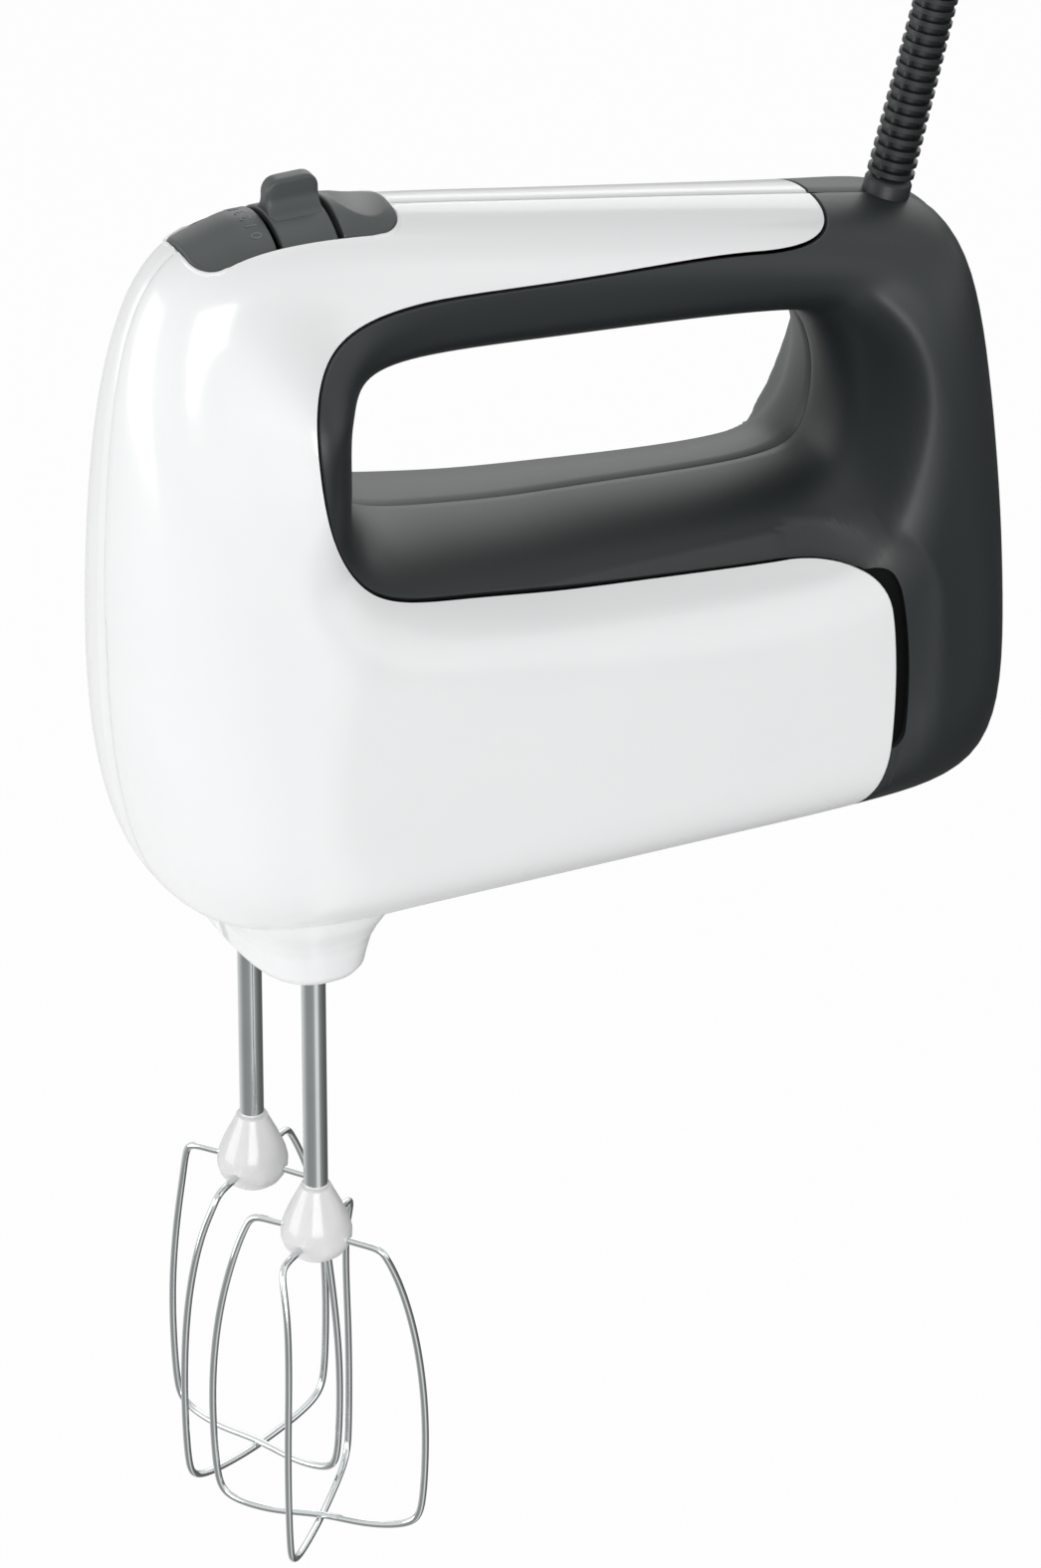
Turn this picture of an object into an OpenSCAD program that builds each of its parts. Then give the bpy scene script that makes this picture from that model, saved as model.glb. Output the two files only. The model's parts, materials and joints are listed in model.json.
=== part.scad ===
// Hand mixer with two wire beaters: a two-tone body of four moulded shells round an open
// handle, a worm-driven pair of spindles, a beater ejector and a mains lead.
// +X points to the heel, -X to the nose, -Y to the mixer's left, +Z up; the origin is the
// middle of the handle.

/* [Body] */
// Length of the body from nose to heel
body_length = 194; // [180:1:235]
// Height of the body from the bottom of the pod to the crown of the controls
body_height = 152; // [145:1:185]
// Width across the front of the pod
body_width = 80; // [76:1:96]
// Width across the handle
grip_width = 34; // [30:1:40]
// Wall thickness of the moulded shells
wall = 2.2; // [1.6:0.1:2.8]
// Gap along the line where the light and the dark shells meet
shell_gap = 0.6; // [0.4:0.1:1]
// Width of the cooling slot behind the light shell
vent_w = 3.2; // [2:0.1:4.5]

/* [Controls] */
// Radius of the crowned control surfaces
deck_r = 14; // [13:0.5:15]
// Width of the speed selector ring
selector_w = 11.8; // [9:0.1:14]
// Height of the thumb paddle above the selector ring
paddle_h = 6.6; // [5:0.1:10]
// Thickness of the thumb paddle
paddle_t = 3.6; // [2.5:0.1:5]
// Length of the turbo button
turbo_len = 13.8; // [11:0.1:15]
// Travel of the turbo button
turbo_travel = 2; // [1:0.1:2.4]
// Gap between neighbouring controls
control_gap = 1.2; // [0.8:0.1:2]

/* [Drive] */
// Distance between the two beater axes
beater_pitch = 31; // [30:0.5:34]
// Distance from the nose back to the beater axes
nose_setback = 38; // [36:1:46]
// Height of the motor axis above the bottom of the pod
motor_rise = 38; // [36:1:44]
// Module of the worm and gear teeth
tooth_module = 0.75; // [0.7:0.05:0.8]
// Teeth on each beater gear
gear_teeth = 30; // [28:1:32]
// Thickness of each beater gear
gear_h = 8; // [6:0.5:10]
// Radius of the motor shaft
motor_shaft_r = 2.5; // [2:0.1:3]
// Radius of the rotor core
rotor_r = 14.5; // [12:0.5:16]
// Length of the stator and rotor cores
core_len = 30; // [24:1:36]
// Radial air gap between rotor and stator
air_gap = 0.4; // [0.3:0.05:0.6]

/* [Beaters] */
// Radius of a beater shaft
shaft_r = 2.5; // [2:0.1:3]
// Radial running clearance of shafts in their bores
run_fit = 0.08; // [0.04:0.01:0.1]
// Length of beater shaft that shows between the boss and the hub
shaft_show = 51.5; // [40:0.5:62]
// Greatest radius of a beater's wire loops
loop_r = 22.5; // [19:0.5:25]
// Height of the wire loops below the hub's widest place
loop_h = 66; // [56:1:76]
// Twist of each beater's wires about its axis, in degrees
loop_twist = 12; // [0:1:18]
// Wire diameter of the loops
wire_d = 1.5; // [1.2:0.1:2]
// Travel of the ejector
eject_travel = 6; // [4:0.5:7]

/* [Lead] */
// Diameter of the mains lead
cord_d = 6.5; // [6:0.1:7]
// Length of the ribbed strain relief
boot_len = 50; // [40:1:60]
// Radius of the strain relief at its base
boot_r = 5.1; // [4.6:0.1:6]
// Radius of each plug pin
pin_r = 2; // [2:0.1:2.4]
// Length of each plug pin
pin_len = 19; // [17:0.5:20]
// Distance between the plug pins
pin_pitch = 19; // [17.5:0.1:19]

/* [Hidden] */
$fn = 48;

// ---- body outline -------------------------------------------------------------------
drawn_length = 194;  // the stations below are drawn for this length, height and width
drawn_height = 152;
sx = body_length / drawn_length;
sz = body_height / drawn_height;
pod_half = body_width / 2;
grip_half = grip_width / 2;
tail_half = pod_half - 6;

// Stations round the handle opening, forwards along the handle, down the nose, back under
// the pod and up the heel. They are the control points of closed cubic splines:
// [outer x, outer z, opening x, opening z, half width, outer rounding, opening rounding,
//  half width at the neck, light shell's edge above the opening line, scoop beside the opening]
stations = [
  [56, -1.5, 41, -21.5, grip_half + 1.5, 13, 13, grip_half + 1.5, 18.5, 0.05],
  [23.5, 5, 18, -19, grip_half, 13, 13, grip_half, 18, 0],
  [-11.5, 11.5, -13.5, -16.5, grip_half, 14, 14, grip_half, 17, 0],
  [-42, 17.5, -46.5, -12.5, grip_half + 5, 15, 16, grip_half, 16.5, 0],
  [-67.5, 21.5, -60.5, -14.5, pod_half - 7.5, 18, 24, deck_r + 2.5, 16, 0],
  [-91, 19.5, -60.5, -25, pod_half - 2, 21, 27, deck_r + 2.5, 25, 0],
  [-101.5, 1, -59, -33, pod_half - 1, 39, 27, deck_r + 6, 20.5, 0],
  [-105, -30.5, -58.5, -40, pod_half - 1, 54, 27, pod_half - 2, 10.5, 0],
  [-106.5, -66.5, -55, -45, pod_half, 55, 28, pod_half, 9.5, 0],
  [-104.5, -103.5, -47.5, -48.5, pod_half, 50, 27, pod_half, 8, 0],
  [-93.5, -132, -35, -50.5, pod_half, 35, 26, pod_half, 7.5, 0.05],
  [-61, -130, -17.5, -53, pod_half - 0.5, 27, 27, pod_half, 8, 0.08],
  [-22.5, -131.5, 0, -54, pod_half - 0.5, 27, 30, pod_half, 8.5, 0.1],
  [18, -132.5, 22, -56, pod_half - 1.5, 26, 31, pod_half - 1, 9, 0.12],
  [56.5, -133.5, 44.5, -57, pod_half - 2.5, 26, 30, pod_half - 2, 10, 0.16],
  [84, -132, 49, -51.5, tail_half + 0.5, 26, 27, tail_half + 1, 9, 0.22],
  [87, -97, 50.5, -44, tail_half - 1, 24, 26, tail_half - 1, 10, 0.28],
  [87, -52.5, 50.5, -35.5, tail_half - 3, 22, 20, tail_half - 3, 12, 0.3],
  [82.5, -13, 47.5, -26.5, grip_half + 9, 18, 16, grip_half + 9, 12, 0.28],
  [72.5, -4.5, 44, -23, grip_half + 3, 16, 14, grip_half + 3, 16, 0.15]
];
t_cap = 0.14;     // station where the light cap ends on the handle
t_rear = 13.75;   // station of the light shell's rear edge
t_all = len(stations);
round_power = 2.2;  // superellipse power of the rounded sections
neck_depth = 9;     // depth below the crown at which the neck starts to flare
neck_flare = 28;    // depth over which it flares
lip = 5;            // the scooped flank starts this far from the opening
scoop_reach = 9;    // and ends in a ridge this far on
seam = 0.05;        // half the gap between the left and right shells

// A row of stations on the closed cubic spline at parameter t
function station(t) =
  let (n = len(stations), i = floor(t), u = t - i,
       a = stations[(i - 1 + n) % n], b = stations[i % n],
       c = stations[(i + 1) % n], d = stations[(i + 2) % n])
  (pow(1 - u, 3) * a + (3 * u * u * u - 6 * u * u + 4) * b
   + (-3 * u * u * u + 3 * u * u + 3 * u + 1) * c + u * u * u * d) / 6;
function clamp(v, lo, hi) = max(lo, min(hi, v));
function smooth(v) = let (c = clamp(v, 0, 1)) c * c * (3 - 2 * c);
function rounded(q) = pow(1 - pow(1 - clamp(q, 0, 1), round_power), 1 / round_power);

// A point of the left skin at station t, a share s of the way from the outline to the
// opening, sunk by inset below the surface
function skin(t, s, inset = 0) =
  let (r = station(t), outer = [r[0] * sx, r[1] * sz], inner = [r[2] * sx, r[3] * sz],
       span = inner - outer, reach = norm(span), dir = span / reach,
       usable = reach - 2 * inset, d = s * usable,
       wide = r[7] - inset + (r[4] - r[7]) * smooth((d - neck_depth) / neck_flare),
       half = wide * (1 - r[9] * (1 - smooth((usable - d - lip) / scoop_reach))),
       y = half * rounded(d / (r[5] - inset)) * rounded((usable - d) / (r[6] - inset)),
       p = outer + dir * (d + inset))
  [p[0], -seam - y, p[1]];

// Share of the way at which the light shell stops, offset millimetres nearer the opening
function edge_share(t, offset) =
  let (r = station(t))
  1 - (r[8] - offset) / norm([(r[2] - r[0]) * sx, (r[3] - r[1]) * sz]);

// Stations of the light shell's rear edge and of its cap's end, a share fill of its width
// from the parting line. The rear edge leans back and turns a round corner.
rear_lean = 0.75;
corner_t = 1.1;
corner_from = 0.8;
cap_round = 0.55;
function turned(q) = 1 - sqrt(1 - pow(clamp(q, 0, 1), 2));
function rear_edge(fill) =
  t_rear + rear_lean * fill - corner_t * turned((fill - corner_from) / (1 - corner_from));
function cap_edge(fill) = t_cap + cap_round * turned(fill);
half_gap_t = shell_gap / 2 / 30;   // half the shell gap, in stations
vent_t = vent_w / 15;              // the cooling slot's width, in stations
vent_from = 0.3;                   // the slot runs between these shares of the width
vent_to = 0.92;
function vent(fill) =
  vent_t * smooth((fill - vent_from) / 0.08) * smooth((vent_to - fill) / 0.08);

// Point i along, from the rear edge to the cap, and j across the light shell
light_i = 32;
light_j = 12;
function light_point(i, j, inset) =
  let (fill = (1 - cos(180 * j / light_j)) / 2,
       from = cap_edge(fill) + half_gap_t,
       to = rear_edge(fill) - half_gap_t,
       t = to + (from - to) * i / light_i)
  skin(t, edge_share(t, -shell_gap / 2) * fill, inset);

// The dark shell is a closed loop of sections: up the light shell's rear edge, forwards
// along the pod, round the opening, back along the handle, over the cap's end and down
// the heel. Each section runs from the loop's outer edge to the opening.
rear_i = light_j;
ring_i = light_i;
cap_i = light_j;
dark_i = rear_i + ring_i + cap_i + 12;
dark_j = 8;
ring_start = rear_i;
cap_start = rear_i + ring_i;
heel_start = cap_start + cap_i;
function edge_fill(i) =
  i < ring_start ? (1 - cos(180 * i / rear_i)) / 2
  : i <= cap_start ? 1
  : i < heel_start ? (1 + cos(180 * (i - cap_start) / cap_i)) / 2 : 0;
function edge_t(i) =
  i < ring_start ? rear_edge(edge_fill(i)) + half_gap_t + vent(edge_fill(i))
  : i > cap_start && i <= heel_start ? cap_edge(edge_fill(i)) - half_gap_t
  : lookup(i, [[ring_start, rear_edge(1)], [cap_start, cap_edge(1)],
               [heel_start, t_cap - half_gap_t], [dark_i, t_rear + half_gap_t - t_all]]);
function opening_t(i) =
  lookup(i, [[0, t_rear + 1.4], [ring_start, rear_edge(1) + 0.1], [cap_start, cap_edge(1) - 0.1],
             [heel_start, t_cap - 0.6], [dark_i, t_rear + 1.4 - t_all]]);
function dark_point(i, j, inset) =
  let (b = j / dark_j, from = edge_t(i), fill = edge_fill(i),
       t = from + (opening_t(i) - from) * b, turn = t < 0 ? t + t_all : t,
       start = from < 0 ? from + t_all : from,
       low = fill * edge_share(start, shell_gap / 2),
       wave = fill * sin(90 * b) + (1 - fill) * (1 - cos(180 * b)) / 2)
  skin(turn, low + (1 - low) * wave, inset);

// A closed solid between a skin and the same skin sunk by the wall; point(i, j, inset)
// gives its corners, and a looped patch joins its last row to its first
module patch(ni, nj, looped, point) {
  rows = looped ? ni : ni + 1;
  cols = nj + 1;
  outer = [for (i = [0 : rows - 1], j = [0 : nj]) point(i, j, 0)];
  inner = [for (i = [0 : rows - 1], j = [0 : nj]) point(i, j, wall)];
  last = rows * cols;
  function at(i, j) = (i % rows) * cols + j;
  function both(a, b, c, d) = [[a, b, c], [a, c, d]];
  faces = [
    for (i = [0 : ni - 1], j = [0 : nj - 1])
      each both(at(i, j), at(i + 1, j), at(i + 1, j + 1), at(i, j + 1)),
    for (i = [0 : ni - 1], j = [0 : nj - 1])
      each both(last + at(i, j), last + at(i, j + 1), last + at(i + 1, j + 1), last + at(i + 1, j)),
    for (i = [0 : ni - 1])
      each both(at(i, 0), last + at(i, 0), last + at(i + 1, 0), at(i + 1, 0)),
    for (i = [0 : ni - 1])
      each both(at(i, nj), at(i + 1, nj), last + at(i + 1, nj), last + at(i, nj)),
    if (!looped) for (j = [0 : nj - 1])
      each both(at(0, j), at(0, j + 1), last + at(0, j + 1), last + at(0, j)),
    if (!looped) for (j = [0 : nj - 1])
      each both(at(ni, j), last + at(ni, j), last + at(ni, j + 1), at(ni, j + 1))
  ];
  polyhedron(points = concat(outer, inner), faces = faces, convexity = 8);
}

// ---- shared shapes ------------------------------------------------------------------
function unit(v) = v / norm(v);

// A round bar of radius r along points; across is square to the plane of its bends
module bar(points, r, sides, across) {
  n = len(points);
  heading = [for (i = [0 : n - 1]) unit(points[min(i + 1, n - 1)] - points[max(i - 1, 0)])];
  corners = [for (i = [0 : n - 1])
    let (u = unit(cross(heading[i], across)), v = cross(heading[i], u))
    for (k = [0 : sides - 1])
      points[i] + r * (cos(360 * k / sides) * u + sin(360 * k / sides) * v)];
  flanks = [for (i = [0 : n - 2], k = [0 : sides - 1])
    let (a = i * sides + k, b = i * sides + (k + 1) % sides)
    each [[a, b, b + sides], [a, b + sides, a + sides]]];
  ends = [[for (k = [sides - 1 : -1 : 0]) k],
          [for (k = [0 : sides - 1]) (n - 1) * sides + k]];
  polyhedron(points = corners, faces = concat(flanks, ends), convexity = 6);
}

module along_x(x, y, z) { translate([x, y, z]) rotate([0, 90, 0]) children(); }
module along_y(x, y, z) { translate([x, y, z]) rotate([-90, 0, 0]) children(); }
module mirrored_y() { mirror([0, 1, 0]) children(); }

// A disc with a true bore
module ring(outer_r, bore_r, h) {
  difference() {
    cylinder(r = outer_r, h = h);
    translate([0, 0, -1]) cylinder(r = bore_r, h = h + 2);
  }
}

// A helical spring of wire radius wr standing on z = 0
module spring(coil_r, wr, h, turns) {
  steps = 10 * turns;
  bar([for (i = [0 : steps]) [coil_r * cos(36 * i), coil_r * sin(36 * i),
                              wr + (h - 2 * wr) * i / steps]], wr, 6, [0, 0, 1]);
}

// A stadium along Y: two circles of radius r, half_y out from the middle, and what joins them
module stadium(r, half_y) {
  for (s = [-1, 1]) translate([0, s * half_y]) circle(r);
  translate([-r, -half_y]) square([2 * r, 2 * half_y]);
}

// ---- places -------------------------------------------------------------------------
nose_x = -106.5 * sx;
floor_z = -130 * sz;
heel_x = 85.8 * sx;          // the heel is trimmed flat here
beater_x = nose_x + nose_setback;
beater_y = beater_pitch / 2;
drive_z = floor_z + motor_rise;
boss_z = floor_z - 10;       // underside of the beater boss
boss_r = 12.5;
play = 0.3;                  // gap between pieces that slide past each other

deck_axis_z = 21.4 * sz - deck_r;    // axis of the crowned controls
deck_front = -88.5 * sx;
deck_rear = -43.5 * sx;
deck_half = 10;              // half width of the controls' opening
deck_corner = 6;             // radius of its corners
turbo_x0 = deck_rear - turbo_len;
selector_x1 = turbo_x0 - control_gap;
selector_x0 = selector_x1 - selector_w;
panel_x1 = selector_x0 - control_gap;
crown_wall = 2;              // thickness of the crowned controls

// ---- casings ------------------------------------------------------------------------
// Screw posts of the two casings: [station, share of the way to the opening]
light_posts = [[8, 0.5], [13.7, 0.62], [1.2, 0.2]];
dark_posts = [[15.5, 0.5], [17.2, 0.5]];
screw_r = 1.5;
screw_head_r = 2.8;
screw_depth = 10;            // bite of a casing screw in the left posts
post_r = 3.4;
post_skin = 1.6;             // posts stop this far below the outer surface
head_sink = 6;               // the screw heads sit this far below the right skin

module at_posts(places) {
  for (p = places) {
    foot = skin(p[0], p[1], post_skin);
    along_y(foot[0], foot[1], foot[2]) {
      $post_len = -foot[1] - seam;
      children();
    }
  }
}

module post_body() { cylinder(r = post_r, h = $post_len); }
module pilot_bore() { translate([0, 0, $post_len - screw_depth - 1]) cylinder(r = screw_r, h = screw_depth + 3); }
module head_bore() {
  translate([0, 0, -3]) cylinder(r = screw_head_r + play, h = 3 + head_sink);
  translate([0, 0, -1]) cylinder(r = screw_r + play, h = $post_len + 3);
}

module deck_outline(shrink) {
  front = deck_front + deck_corner;
  rear = deck_rear - deck_corner;
  side = deck_half - deck_corner;
  for (x = [front, rear], y = [-side, side]) translate([x, y]) circle(deck_corner - shrink);
  translate([front, shrink - deck_half]) square([rear - front, 2 * (deck_half - shrink)]);
  translate([deck_front + shrink, -side]) square([deck_rear - deck_front - 2 * shrink, 2 * side]);
}

// Half of the light casing, without screw bores
module light_body() {
  patch(light_i, light_j, false, function (i, j, k) light_point(i, j, k));
  at_posts(light_posts) post_body();
  translate([beater_x, -boss_r, boss_z]) cylinder(r = boss_r, h = floor_z - boss_z + wall);
  translate([beater_x - boss_r, -boss_r, boss_z])
    cube([2 * boss_r, boss_r - seam, floor_z - boss_z + wall]);
}

module light_cuts() {
  translate([0, 0, deck_axis_z + 2]) linear_extrude(deck_r + 10) deck_outline(0);
  along_x(selector_x0 - play, 0, deck_axis_z)
    cylinder(r = deck_r + play, h = deck_rear - selector_x0 + 2 * play);
  translate([beater_x, -beater_y, boss_z - 1]) cylinder(r = spindle_r + 2 * play, h = 20);
}

module housing_left() {
  color("white") difference() {
    light_body();
    light_cuts();
    at_posts(light_posts) pilot_bore();
  }
}

module housing_right() {
  color("white") mirrored_y() difference() {
    light_body();
    light_cuts();
    at_posts(light_posts) head_bore();
  }
}

module dark_body() {
  patch(dark_i, dark_j, true, function (i, j, k) dark_point(i, j, k));
  at_posts(dark_posts) post_body();
}

module dark_cuts() {
  translate([heel_x, -50, -200 * sz]) cube([20, 100, 300 * sz]);
  boot_place() translate([0, 0, -12]) cylinder(r = boot_neck_r, h = 30);
}

module grip_left() {
  color("dimgray") difference() {
    dark_body();
    dark_cuts();
    at_posts(dark_posts) pilot_bore();
  }
}

module grip_right() {
  color("dimgray") mirrored_y() difference() {
    dark_body();
    dark_cuts();
    at_posts(dark_posts) head_bore();
  }
}

module housing_screws() {
  color("silver") mirrored_y() at_posts(concat(light_posts, dark_posts)) {
    translate([0, 0, head_sink]) cylinder(r = screw_r, h = $post_len + 2 * seam + screw_depth - head_sink);
    translate([0, 0, head_sink - 2]) cylinder(r = screw_head_r, h = 2);
  }
}

// ---- controls -----------------------------------------------------------------------
// A sector of a tube about the control axis, spanning angle each side of the crown
module crown_sector(x0, length, outer_r, inner_r, angle) {
  translate([x0, 0, deck_axis_z]) rotate([0, 90, 0]) rotate([0, 0, 180 - angle])
    rotate_extrude(angle = 2 * angle) translate([inner_r, 0]) square([outer_r - inner_r, length]);
}

// A round bar of radius r whose crown falls away by angle from x towards -X
module falling_crown(x, r, angle) {
  translate([x, 0, deck_axis_z + deck_r]) rotate([0, -angle, 0]) translate([10, 0, -deck_r])
    rotate([0, -90, 0]) cylinder(r = r, h = 50);
}

panel_fall = 17;             // slope of the panel's front, in degrees
panel_level = 5;             // length of its crown that is level
module panel_bulk(r) {
  intersection() {
    falling_crown(panel_x1 - panel_level, r, panel_fall);
    along_x(deck_front - 5, 0, deck_axis_z) cylinder(r = r, h = panel_x1 - deck_front + 5);
  }
}

module control_panel() {
  color("dimgray") difference() {
    intersection() {
      panel_bulk(deck_r);
      translate([0, 0, deck_axis_z + 5]) linear_extrude(deck_r) deck_outline(play);
    }
    intersection() {
      panel_bulk(deck_r - crown_wall);
      translate([0, 0, deck_axis_z]) linear_extrude(deck_r) deck_outline(play + crown_wall);
      translate([deck_front, -20, 0]) cube([panel_x1 - crown_wall - deck_front, 40, 40]);
    }
  }
}

selector_pin_r = 1.5;
selector_skirt = 66;         // the selector's ring reaches this many degrees each side
paddle_round = 3;
module speed_selector() {
  color("dimgray") {
    crown_sector(selector_x0, selector_w, deck_r, deck_r - crown_wall, selector_skirt);
    crown_sector(selector_x0 + selector_w / 2 - 1, 2, deck_r - crown_wall / 2, 2.5, selector_skirt);
    along_x(selector_x0, 0, deck_axis_z) ring(3.2, selector_pin_r + run_fit, selector_w);
    translate([selector_x0 + 0.3, paddle_t / 2, deck_axis_z + deck_r - 1]) rotate([90, 0, 0])
      linear_extrude(paddle_t) {
        square([selector_w - 0.6, paddle_h + 1 - paddle_round]);
        for (x = [paddle_round, selector_w - 0.6 - paddle_round])
          translate([x, paddle_h + 1 - paddle_round]) circle(paddle_round);
        translate([paddle_round, 0]) square([selector_w - 0.6 - 2 * paddle_round, paddle_h + 1]);
      }
  }
}

cheek_t = 1.6;
module selector_pin() {
  color("silver") along_x(selector_x0 - 0.5 - cheek_t, 0, deck_axis_z)
    cylinder(r = selector_pin_r, h = selector_w + 1 + 2 * cheek_t);
}

turbo_mid = turbo_x0 + turbo_len / 2;
chassis_z = deck_axis_z - 13.4;      // underside of the chassis plate
chassis_t = 2;
switch_top = deck_axis_z - 1.2;
turbo_spring_h = 6;
turbo_fall = 14;             // slope of the button's rear, in degrees
turbo_level = 2;             // length of its crown that is level
module turbo_bulk(r) {
  intersection() {
    mirror([1, 0, 0]) falling_crown(-turbo_x0 - turbo_level, r, turbo_fall);
    along_x(turbo_x0 - 1, 0, deck_axis_z) cylinder(r = r, h = turbo_len + 5);
  }
}

module turbo_button() {
  color("dimgray") {
    intersection() {
      difference() {
        turbo_bulk(deck_r);
        turbo_bulk(deck_r - crown_wall);
      }
      translate([turbo_x0, -20, deck_axis_z + 3]) cube([20, 40, 20]);
      translate([0, 0, deck_axis_z]) linear_extrude(deck_r + 1) deck_outline(play);
    }
    translate([turbo_mid, 0, switch_top + turbo_spring_h])
      cylinder(r = 3.2, h = deck_axis_z + deck_r - crown_wall / 2 - switch_top - turbo_spring_h);
    translate([turbo_mid, 0, switch_top + turbo_travel + play])
      cylinder(r = 1.4, h = turbo_spring_h);
  }
}

module turbo_spring() {
  color("silver") translate([turbo_mid, 0, switch_top]) spring(2.3, 0.35, turbo_spring_h, 4);
}

module turbo_switch() {
  color("black") translate([turbo_mid - 4, -4, chassis_z + chassis_t])
    cube([8, 8, switch_top - chassis_z - chassis_t]);
}

// The switch lies behind the rod and the chassis's front cheek, under the selector
speed_switch_x0 = max(beater_x + 4, selector_x0);
module speed_switch() {
  color("black") translate([speed_switch_x0, -6, chassis_z + chassis_t])
    cube([selector_x1 - 1 - speed_switch_x0, 12, deck_axis_z - 4 - chassis_z - chassis_t]);
}

board_x0 = deck_front - 6.5;
board_len = 21;
board_t = 1.6;
standoff_h = 4.4;
module circuit_board() {
  color("darkgreen") translate([board_x0, -13, chassis_z - standoff_h - board_t])
    cube([board_len, 26, board_t]);
}

rod_r = 2;
module control_chassis() {
  color("gray") difference() {
    union() {
      translate([board_x0 + 4, -7, chassis_z]) cube([deck_rear - 1 - board_x0 - 4, 14, chassis_t]);
      for (x = [selector_x0 - 0.5 - cheek_t, selector_x1 + 0.5])
        translate([x, -5, chassis_z]) cube([cheek_t, 10, deck_axis_z + 3 - chassis_z]);
      for (y = [-4.5, 4.5]) translate([board_x0 + 9, y, chassis_z - standoff_h])
        cylinder(r = 2, h = standoff_h);
    }
    along_x(selector_x0 - 5, 0, deck_axis_z) cylinder(r = selector_pin_r, h = selector_w + 10);
    translate([beater_x, 0, chassis_z - 1]) cylinder(r = rod_r + run_fit, h = chassis_t + 2);
  }
}

// ---- motor --------------------------------------------------------------------------
bracket_x = beater_x + 20;   // front face of the front bracket
bracket_t = 4;
core_x = beater_x + 31;      // front face of the cores
core_x1 = core_x + core_len;
end_turn = 6;                // the windings stand this far out of the cores
comm_x = core_x1 + end_turn + 2;
comm_len = 12;
comm_r = 9;
fan_x = comm_x + comm_len + 6;
fan_t = 8;
fan_r = 24;
rear_bracket_x = fan_x + fan_t + 3;
shaft_x0 = beater_x - 19.5;
shaft_x1 = rear_bracket_x + bracket_t + 3;
core_half = 25;              // half the width of the square stator
bearing_r = 6;
bearing_len = 5;
tie_pos = 19;                // the tie screws stand this far from the axis, both ways
tie_r = 1.5;
coil_in_r = rotor_r + air_gap + 1;
coil_out_r = 21.5;

module at_ties() { for (y = [-1, 1], z = [-1, 1]) translate([z * tie_pos, y * tie_pos, 0]) children(); }
module coil_sector(from, h) {
  rotate([0, 0, from]) rotate_extrude(angle = 100)
    translate([coil_in_r, 0]) square([coil_out_r - coil_in_r, h]);
}

module stator_core() {
  color("slategray") along_x(core_x, 0, drive_z) difference() {
    linear_extrude(core_len) intersection() {
      square(2 * core_half, center = true);
      circle(1.2 * core_half);
    }
    translate([0, 0, -1]) cylinder(r = rotor_r + air_gap, h = core_len + 2);
    at_ties() translate([0, 0, -1]) cylinder(r = tie_r, h = core_len + 2);
    for (a = [-50, 130]) translate([0, 0, -1]) coil_sector(a, core_len + 2);
  }
}

module field_coils() {
  color("peru") along_x(core_x - end_turn, 0, drive_z)
    for (a = [-50, 130]) coil_sector(a, core_len + 2 * end_turn);
}

module motor_shaft() {
  color("silver") along_x(shaft_x0, 0, drive_z) cylinder(r = motor_shaft_r, h = shaft_x1 - shaft_x0);
}

slot_count = 12;
module rotor_core() {
  color("lightsteelblue") along_x(core_x, 0, drive_z) difference() {
    ring(rotor_r, motor_shaft_r, core_len);
    for (k = [0 : slot_count - 1]) rotate([0, 0, 360 * k / slot_count])
      translate([rotor_r - 4, -0.8, -1]) cube([6, 1.6, core_len + 2]);
  }
}

module rotor_windings() {
  color("peru") for (x = [core_x - end_turn, core_x1])
    along_x(x, 0, drive_z) ring(rotor_r - 3, motor_shaft_r, end_turn);
}

module commutator() {
  color("peru") along_x(comm_x, 0, drive_z) difference() {
    ring(comm_r, motor_shaft_r, comm_len);
    for (k = [0 : 23]) rotate([0, 0, 15 * k]) translate([comm_r - 0.8, -0.25, -1])
      cube([2, 0.5, comm_len - 2]);
  }
}

module cooling_fan() {
  color("dimgray") along_x(fan_x, 0, drive_z) {
    ring(8, motor_shaft_r, fan_t);
    difference() { cylinder(r = fan_r, h = 1.6); translate([0, 0, -1]) cylinder(r = 8, h = 4); }
    for (k = [0 : 10]) rotate([0, 0, 360 * k / 11]) translate([7.6, -0.6, 1.6])
      cube([fan_r - 8, 1.2, fan_t - 1.6]);
  }
}

module bearing(x) {
  color("goldenrod") along_x(x, 0, drive_z) ring(bearing_r, motor_shaft_r + run_fit, bearing_len);
}
front_bearing_x = beater_x - 19;
module front_bearing() { bearing(front_bearing_x); }
module middle_bearing() { bearing(bracket_x); }
module rear_bearing() { bearing(rear_bracket_x); }

brush_w = 5;
brush_x = comm_x + comm_len / 2;
module carbon_brushes() {
  color("black") for (s = [-1, 1])
    translate([brush_x - brush_w / 2, s > 0 ? comm_r + 0.05 : -comm_r - 0.05 - 11, drive_z - brush_w / 2])
      cube([brush_w, 11, brush_w]);
}

module brush_holders() {
  color("goldenrod") for (s = [-1, 1]) difference() {
    translate([brush_x - 4, s > 0 ? comm_r + 1.5 : -comm_r - 15.5, drive_z - 4]) cube([8, 14, 8]);
    translate([brush_x - brush_w / 2, s > 0 ? 0 : -comm_r - 12.5, drive_z - brush_w / 2])
      cube([brush_w, comm_r + 12.5, brush_w]);
  }
}

bracket_r = 29;
module bracket_plate(x) {
  along_x(x, 0, drive_z) difference() {
    cylinder(r = bracket_r, h = bracket_t);
    translate([0, 0, -1]) cylinder(r = bearing_r, h = bracket_t + 2);
    at_ties() translate([0, 0, -1]) cylinder(r = tie_r, h = bracket_t + 2);
    for (a = [0, 90, 180, 270]) rotate([0, 0, a]) translate([16, 0, -1])
      cylinder(r = 5, h = bracket_t + 2);
  }
}

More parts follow.
